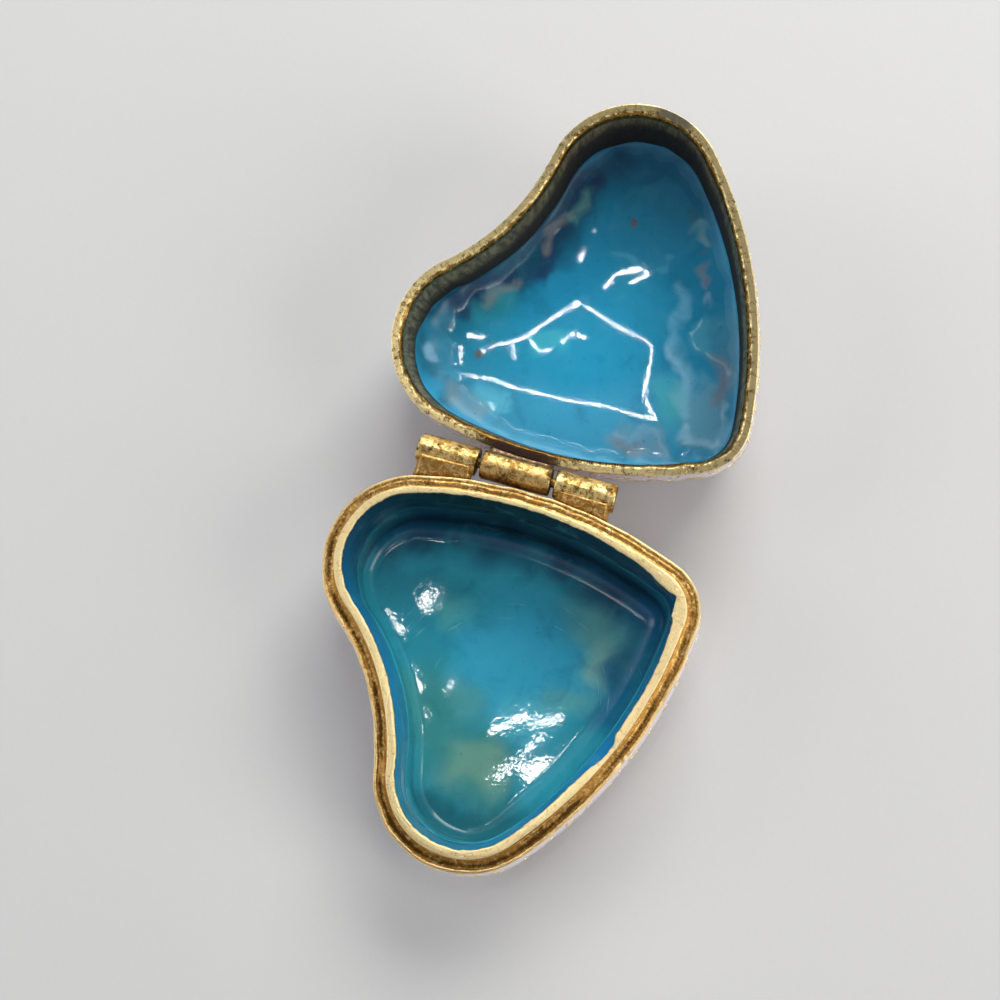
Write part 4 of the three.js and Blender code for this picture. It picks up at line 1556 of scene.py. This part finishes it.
def side_lines(low, high):
    """Wires of a side: blossoms, leaves and scrolls that fill between them."""
    lines = []
    for kind, along, level, size, turn in side_motifs(low, high):
        if kind == "blossom":
            lines += blossom_lines((along, level), size, turn)
        else:
            lines += leaf_lines((along, level), size, turn)
    for number in range(SIDE_MOTIFS):
        along = (number + 0.5) * SIDE_REPEAT
        hand = (-1) ** number
        middle = (low + high) / 2
        for dx, dz, size, turn in SIDE_SCROLLS:
            lines.append(scroll_line((along + dx, middle + dz * hand), size, turn, hand))
    return lines


def top_lines():
    """Wires of the lid's top: blossoms, leaves, scrolls and one border."""
    lines = []
    for x, y, size, turn in TOP_BLOSSOMS:
        lines += blossom_lines((x, y), size, turn)
    for x, y, size, turn in TOP_LEAVES:
        lines += leaf_lines((x, y), size, turn)
    for number, (x, y) in enumerate(TOP_SCROLLS):
        lines.append(scroll_line((x, y), 0.78, number * 2.4, (-1) ** number))
    border = (LINE - 1.7 * OUT)[::4]
    lines.append(np.vstack([border, border[:1]]))
    return lines


def wire_piece(name, groups, opened):
    """One object of all the wires on the base or on the lid."""
    bars = [wire_bars(lines, surface) for lines, surface in groups]
    points = np.concatenate([b[0] for b in bars])
    shift = np.concatenate([[0], np.cumsum([len(b[0]) for b in bars])])
    used = np.concatenate([[0], np.cumsum([len(b[1]) for b in bars])])
    corners = np.concatenate([b[1] + shift[i] for i, b in enumerate(bars)])
    starts = np.concatenate([b[2] + used[i] for i, b in enumerate(bars)])
    if opened:
        points[:, 2] += LID_RIM
        points = swing(points)
    fields = {"worn": np.full(len(points), 0.75), "hollow": np.full(len(points), 0.12)}
    piece = new_object(name, points, corners, starts, np.zeros((len(corners), 2)), fields)
    piece.data.materials.append(WIRE_GOLD)
    print(f"{name}: {len(corners) // 2} triangles or fewer")
    return piece


base_profile = base_side(0.0, 60, TRIM)
lid_profile = lid_side(0.0, 60, TRIM)
lid_flank = lid_profile[lid_profile[:, 1] <= LID_HEIGHT - SHOULDER * 0.4]
base_groups = [(side_lines(FOOT, LEDGE - BAND), side_surface(base_profile))]
lid_groups = [(side_lines(LID_BAND, LID_HEIGHT - SHOULDER), side_surface(lid_flank)),
              (top_lines(), top_surface)]
base_wires = wire_piece("base_wires", base_groups, False)
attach(base_wires, "base")
lid_wires = wire_piece("lid_wires", lid_groups, True)
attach(lid_wires, "lid")

# %% [markdown]
# ## The hinge
# The hinge is three short tubes on a wire. The outer two are soldered to the base and the middle
# one to the lid. They were cut from rough, pitted tube and are slightly squashed and uneven, and
# the solder runs out in small fillets onto the rims.

# %% Barrels
HINGE_MIDDLE = -5.6
MIDDLE_LENGTH = 7.3
OUTER_LENGTH = 6.3
JOINT_GAP = 0.38
BARREL_SIDES = 132
WEB_MARGIN = 0.25


def barrel_grid(start, length, seed, squash):
    """A bored tube along X: rows go out over an end, along the outside, and back down the bore."""
    section = soft_profile([(BORE, 0.03, 0), (BARREL, 0.0, 0.3), (BARREL, length, 0.3),
                            (BORE, length - 0.03, 0.1), (BORE, length / 2, 0)], 0.1)
    angle = np.linspace(0, 2 * math.pi, BARREL_SIDES, endpoint=False)[None]
    radius, x = section[:, :1], section[:, 1:]
    full = np.clip((radius - BORE) / (BARREL - BORE), 0, 1)
    boxy = 1 + squash * np.cos(4 * angle - 0.6) - squash
    spot = np.stack([np.broadcast_to(x, full.shape) + 0 * angle, 1.4 * np.cos(angle) + 0 * x,
                     1.4 * np.sin(angle) + 0 * x], axis=-1)
    dents = np.minimum(wander(spot, 2.6, seed), 0) * 0.035
    dents = dents - np.abs(wander(spot, 0.7, seed + 1)) * 0.02
    radius = radius * (1 + full * (boxy - 1)) + full * dents
    skew = full * 0.05 * np.sin(angle + seed)
    return np.stack([start + x + skew, AXIS_Y + radius * np.cos(angle),
                     AXIS_Z + radius * np.sin(angle)], axis=-1), spot, full


def web_grid(start, length, section, edge_height):
    """A solder web from the barrel to the rim: a section carried along X, its foot on the outline."""
    t = np.linspace(0, 1, 60)
    x = start + length * t
    hinge = np.abs(apart(ALONG, HINGE_SIDE)) < 22
    order = np.argsort(LINE[hinge, 0])
    foot = np.interp(x, LINE[hinge, 0][order], LINE[hinge, 1][order])
    closing = np.minimum(1, np.minimum(t, 1 - t) * 12 + 0.15)
    rows = []
    for number, (reach, level) in enumerate(section):
        y = (AXIS_Y - 0.9) * (1 - reach) + (foot + 0.02) * reach
        z = AXIS_Z + edge_height + (level - edge_height) * closing
        lumps = 0.015 * wander(np.stack([x, np.full_like(x, number * 0.5)], axis=-1), 1.1, 81)
        rows.append(np.stack([x, y, z + lumps * (level > edge_height)], axis=-1))
    return np.array(rows)


def joined_piece(name, grids, fields):
    """One object from closed grids: tubes that wrap both ways and webs with flat ends."""
    points, corners, starts, uvs, slots = [], [], [], [], []
    used = 0
    placed = 0
    for number, (grid, wraps) in enumerate(grids):
        rows, columns = grid.shape[:2]
        quads = quad_corners(rows, columns, True, wraps)
        loose = quads.ravel()
        begin = np.arange(len(quads)) * 4
        if not wraps:
            end = np.arange(rows) * columns
            ends = np.concatenate([end, (end + columns - 1)[::-1]])
            begin = np.append(begin, [len(loose), len(loose) + rows])
            loose = np.append(loose, ends)
        points.append(grid.reshape(-1, 3))
        corners.append(loose + placed)
        starts.append(begin + used)
        slots.append(np.full(len(begin), number))
        uvs.append(points[-1][loose][:, :2] / MM_IN_CM)
        placed += rows * columns
        used += len(loose)
    piece = new_object(name, np.concatenate(points), np.concatenate(corners), np.concatenate(starts),
                       np.concatenate(uvs), fields)
    piece.data.polygons.foreach_set("material_index", np.concatenate(slots).astype(np.int32))
    print(f"{name}: {placed * 2} triangles or fewer")
    return piece


# Sections of the webs: share of the way from barrel to rim, and height over the hinge's axis.
BASE_WEB = [(0.0, -0.3), (0.0, 1.17), (0.2, 1.0), (0.45, 0.78), (0.75, 0.58), (1.0, 0.47),
            (1.0, -0.5), (0.5, -0.75)]
LID_WEB = [(0.0, 0.1), (0.0, 1.32), (0.5, 1.36), (1.0, 1.3), (1.0, 0.62), (0.6, 0.6)]


def knuckle(name, start, length, web, edge, body, seed, squash):
    """A barrel with its web, on the base or swung back with the lid."""
    tube, spot, full = barrel_grid(start, length, seed, squash)
    solder = web_grid(start + WEB_MARGIN, length - 2 * WEB_MARGIN, web, edge)
    tube = tube[::-1]
    if body == "lid":
        tube, solder = swing(tube), swing(solder)
    rubbed = 0.6 + 0.25 * wander(spot, 2.0, seed + 2)[::-1]
    rust = np.clip(0.3 + 0.3 * wander(spot, 1.3, seed + 3)[::-1], 0, 1) + 0.6 * (full[::-1] < 0.9)
    web_worn = np.full(solder.shape[:2], 0.35)
    web_rust = np.full(solder.shape[:2], 0.3)
    fields = {"worn": np.concatenate([rubbed.ravel(), web_worn.ravel()]),
              "hollow": np.concatenate([(rust + 0 * rubbed).ravel(), web_rust.ravel()])}
    piece = joined_piece(name + "_barrel", [(tube, True), (solder, False)], fields)
    piece.data.materials.append(BARREL_GOLD if body == "base" else DARK_GOLD)
    piece.data.materials.append(RIM_GOLD if body == "base" else SCORCHED)
    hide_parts(name)
    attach(piece, body)


MIDDLE_START = HINGE_MIDDLE - MIDDLE_LENGTH / 2
LEFT_START = MIDDLE_START - JOINT_GAP - OUTER_LENGTH
RIGHT_START = MIDDLE_START + MIDDLE_LENGTH + JOINT_GAP
knuckle("knuckle_left", LEFT_START, OUTER_LENGTH, BASE_WEB, -0.05, "base", 71, 0.035)
knuckle("knuckle_right", RIGHT_START, OUTER_LENGTH, BASE_WEB, -0.05, "base", 74, 0.03)
knuckle("lid_knuckle", MIDDLE_START, MIDDLE_LENGTH, LID_WEB, 1.0, "lid", 77, 0.02)


# %% Pin
def pin_finish():
    """Dark brass wire."""
    brass = Finish("pin_brass", Metallic=1.0)
    place = brass.place()
    tarnish = brass.noise(place, 1500.0, 4.0, 0.65)
    brass.drive(Base_Color=brass.mix(paint("#a88748"), paint("#2b1e10"), tarnish.ramp(0.35, 0.65)),
                Roughness=0.3 + tarnish * 0.3, Normal=brass.bump(tarnish, 0.03, 0.5))
    return brass.material


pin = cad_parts["hinge_pin"]
pin.data.materials.clear()
pin.data.materials.append(pin_finish())

# %% [markdown]
# ## Floor and light
# The box stands on a pale table. A broad soft light from beyond the lid makes most of the
# shading, weaker ones from the sides fill it, and the room is dark straight above, which keeps
# the colour of the glass deep.

# %% Floor
TABLE_REACH = 0.9


def table_top():
    """A large pale sheet with a very faint mottle."""
    side = TABLE_REACH
    corners = np.array([(-side, -side, 0), (side, -side, 0), (side, side, 0), (-side, side, 0)]) / MM
    floor = new_object("table_top", corners, np.arange(4), np.array([0]), np.zeros((4, 2)), {})
    pale = Finish("table_paper", Roughness=0.7)
    place = pale.place()
    mottle = pale.noise(place, 60.0, 3.0, 0.5) * 0.3 + pale.noise(place, 1500.0, 3.0, 0.6) * 0.7
    pale.drive(Base_Color=pale.mix(paint("#bcbcbb"), paint("#c1c1c0"), mottle),
               Normal=pale.bump(pale.noise(place, 1100.0, 3.0, 0.6), 0.04, 0.3))
    floor.data.materials.append(pale.material)


table_top()


# %% Room light
CENTRE = (-0.003, 0.017, 0.01)
# Lamps by name: place in metres, width and height, power in watts and colour.
LAMPS = {"window": ((0.03, 0.5, 0.42), 0.5, 0.34, 4.1, "#fffefa"),
         "side": ((0.5, -0.02, 0.3), 0.3, 0.3, 1.5, "#fffaf4"),
         "other_side": ((-0.5, -0.05, 0.3), 0.3, 0.3, 0.8, "#f4f6ff")}


def soft_light(name, place, width, height, power, colour):
    """A rectangular light at a place, facing the middle of the open box."""
    data = bpy.data.lights.new(name, "AREA")
    data.shape = "RECTANGLE"
    data.size = width
    data.size_y = height
    data.energy = power
    data.color = paint(colour)[:3]
    lamp = bpy.data.objects.new(name, data)
    lamp.location = place
    lamp.rotation_mode = "QUATERNION"
    lamp.rotation_quaternion = (Vector(CENTRE) - Vector(place)).to_track_quat("-Z", "Y")
    bpy.context.scene.collection.objects.link(lamp)


def room(dark, bright, strength):
    """A world that goes from dark straight above to bright at the horizon, by the height of a ray."""
    world = bpy.data.worlds.new("room")
    world.use_nodes = True
    tree = world.node_tree
    where = tree.nodes.new("ShaderNodeTexCoord")
    split = tree.nodes.new("ShaderNodeSeparateXYZ")
    rise = tree.nodes.new("ShaderNodeMapRange")
    rise.interpolation_type = "SMOOTHSTEP"
    rise.inputs["From Min"].default_value = 0.35
    rise.inputs["From Max"].default_value = 0.92
    tones = tree.nodes.new("ShaderNodeMix")
    tones.data_type = "RGBA"
    tones.inputs[6].default_value = bright
    tones.inputs[7].default_value = dark
    tree.links.new(where.outputs["Generated"], split.inputs[0])
    tree.links.new(split.outputs["Z"], rise.inputs["Value"])
    tree.links.new(rise.outputs[0], tones.inputs[0])
    tree.links.new(tones.outputs[2], tree.nodes["Background"].inputs["Color"])
    tree.nodes["Background"].inputs["Strength"].default_value = strength
    bpy.context.scene.world = world


room(paint("#72747a"), paint("#f0f2f6"), 0.9)
bpy.context.scene.view_settings.view_transform = "Standard"
for lamp_name, lamp_facts in LAMPS.items():
    soft_light(lamp_name, *lamp_facts)

# %% [markdown]
# ## Glints
# The glass mirrors small lamps almost straight above it. Each glint is a thin light strip. The
# eye's ray to a place on the glass is mirrored about the glass there, and the strip is hung on
# the mirrored rays, so that its reflection runs between the two places. The beams are narrow, so
# that the curved foot of the glass doesn't mirror them too.

# %% Glints on the glass
LID_STRIPS = 32.0
BASE_STRIPS = 60.0
STRIP_SPREAD = math.radians(68)
LOOP_WIDTH = 0.12
LOOP_GLOW = 125.0
MARK_WIDTH = 0.15
MARK_GLOW = 120.0
PATCH_SHARE = 0.33
PATCH_GLOW = 66.0
SLOPE_STEP = 0.05
# Picture places of the reflections. A patch on the base has a width after its two ends.
LID_LOOP = ((461, 347), (458, 373), (491, 379), (519, 389), (534, 392), (550, 397), (589, 403),
            (609, 407), (656, 420), (644, 395), (651, 361), (652, 345), (640, 337), (617, 327),
            (601, 316), (580, 302), (550, 319), (529, 336), (510, 343), (496, 344), (482, 352))
LID_MARKS = (((467, 336), (484, 337)), ((513, 345), (515, 358)), ((530, 340), (540, 353)),
             ((540, 353), (552, 349)), ((563, 342), (572, 333)), ((572, 333), (586, 338)),
             ((604, 288), (617, 274)), ((617, 274), (640, 268)), ((640, 268), (649, 274)),
             ((649, 274), (630, 283)), ((580, 261), (584, 249)), ((594, 232), (595, 231)))
BASE_MARKS = (((419, 604), (433, 592), 1.6), ((421, 606), (434, 605), 1.6), ((389, 615), (403, 634), 1.8),
              ((391, 640), (404, 668), 1.0), ((404, 668), (421, 690), 2.4), ((450, 690), (452, 682), 1.4),
              ((425, 712), (427, 718), 0.8), ((490, 731), (528, 716), 2.8), ((528, 716), (534, 724), 2.6),
              ((540, 722), (562, 718), 2.0), ((545, 735), (520, 757), 1.4), ((515, 760), (493, 780), 1.6),
              ((520, 768), (552, 764), 4.2), ((528, 778), (548, 781), 3.0), ((560, 758), (579, 746), 2.0),
              ((555, 779), (575, 766), 0.9))


def floor_normal(level, x, y):
    """Unit normal of a level over the plane, from its slopes over a small step."""
    rise_x = level(np.array(x + SLOPE_STEP), np.array(y)) - level(np.array(x - SLOPE_STEP), np.array(y))
    rise_y = level(np.array(x), np.array(y + SLOPE_STEP)) - level(np.array(x), np.array(y - SLOPE_STEP))
    normal = np.array([-rise_x / (2 * SLOPE_STEP), -rise_y / (2 * SLOPE_STEP), 1.0])
    return normal / np.linalg.norm(normal)


def base_mirror(column, row):
    """The place on the base's floor and the direction that mirrors the eye's ray there."""
    spot = seen_in_base(column, row)
    normal = floor_normal(base_floor_level, spot[0], spot[1])
    ray = picture_ray(column, row)
    return spot, ray - 2 * np.dot(ray, normal) * normal


def lid_mirror(column, row):
    """The same for the lid, whose waves are known in its closed place."""
    spot = seen_in_lid(column, row)
    shut = swing(spot, -OPEN_ANGLE)
    normal = floor_normal(lid_floor_level, shut[0], shut[1]) * -1.0
    normal = swing(normal + [0, AXIS_Y, AXIS_Z]) - [0, AXIS_Y, AXIS_Z]
    ray = picture_ray(column, row)
    return spot, ray - 2 * np.dot(ray, normal) * normal


def glint(name, start, end, mirror, height, width, glow):
    """Hangs one strip over the mirrored rays of two picture places."""
    spots, ends = [], []
    for column, row in (start, end):
        spot, ray = mirror(column, row)
        spots.append(spot)
        ends.append(spot + ray * height)
    along = ends[1] - ends[0]
    length = max(np.linalg.norm(along), width)
    middle = (ends[0] + ends[1]) / 2
    back = middle - (spots[0] + spots[1]) / 2
    back /= np.linalg.norm(back)
    side = Vector(along).normalized()
    away = Vector(back)
    side = (side - away * side.dot(away)).normalized()
    data = bpy.data.lights.new(name, "AREA")
    data.shape = "RECTANGLE"
    data.size = length * MM
    data.size_y = width * MM
    data.spread = STRIP_SPREAD
    narrow = 1 - STRIP_SPREAD / 2 / math.tan(STRIP_SPREAD / 2)
    data.energy = glow * narrow * math.pi * length * width * MM * MM
    lamp = bpy.data.objects.new(name, data)
    lamp.matrix_world = Matrix((side, away.cross(side), away)).transposed().to_4x4()
    lamp.location = Vector(middle * MM)
    lamp.visible_camera = False
    bpy.context.scene.collection.objects.link(lamp)


for number, (start, end) in enumerate(zip(LID_LOOP, LID_LOOP[1:])):
    glint(f"loop_{number}", start, end, lid_mirror, LID_STRIPS, LOOP_WIDTH, LOOP_GLOW)
for number, (start, end) in enumerate(LID_MARKS):
    glint(f"mark_{number}", start, end, lid_mirror, LID_STRIPS, MARK_WIDTH, MARK_GLOW)
for number, (start, end, width) in enumerate(BASE_MARKS):
    glint(f"patch_{number}", start, end, base_mirror, BASE_STRIPS, width * PATCH_SHARE, PATCH_GLOW)
print(f"{len(LID_LOOP) - 1 + len(LID_MARKS) + len(BASE_MARKS)} glints hung")
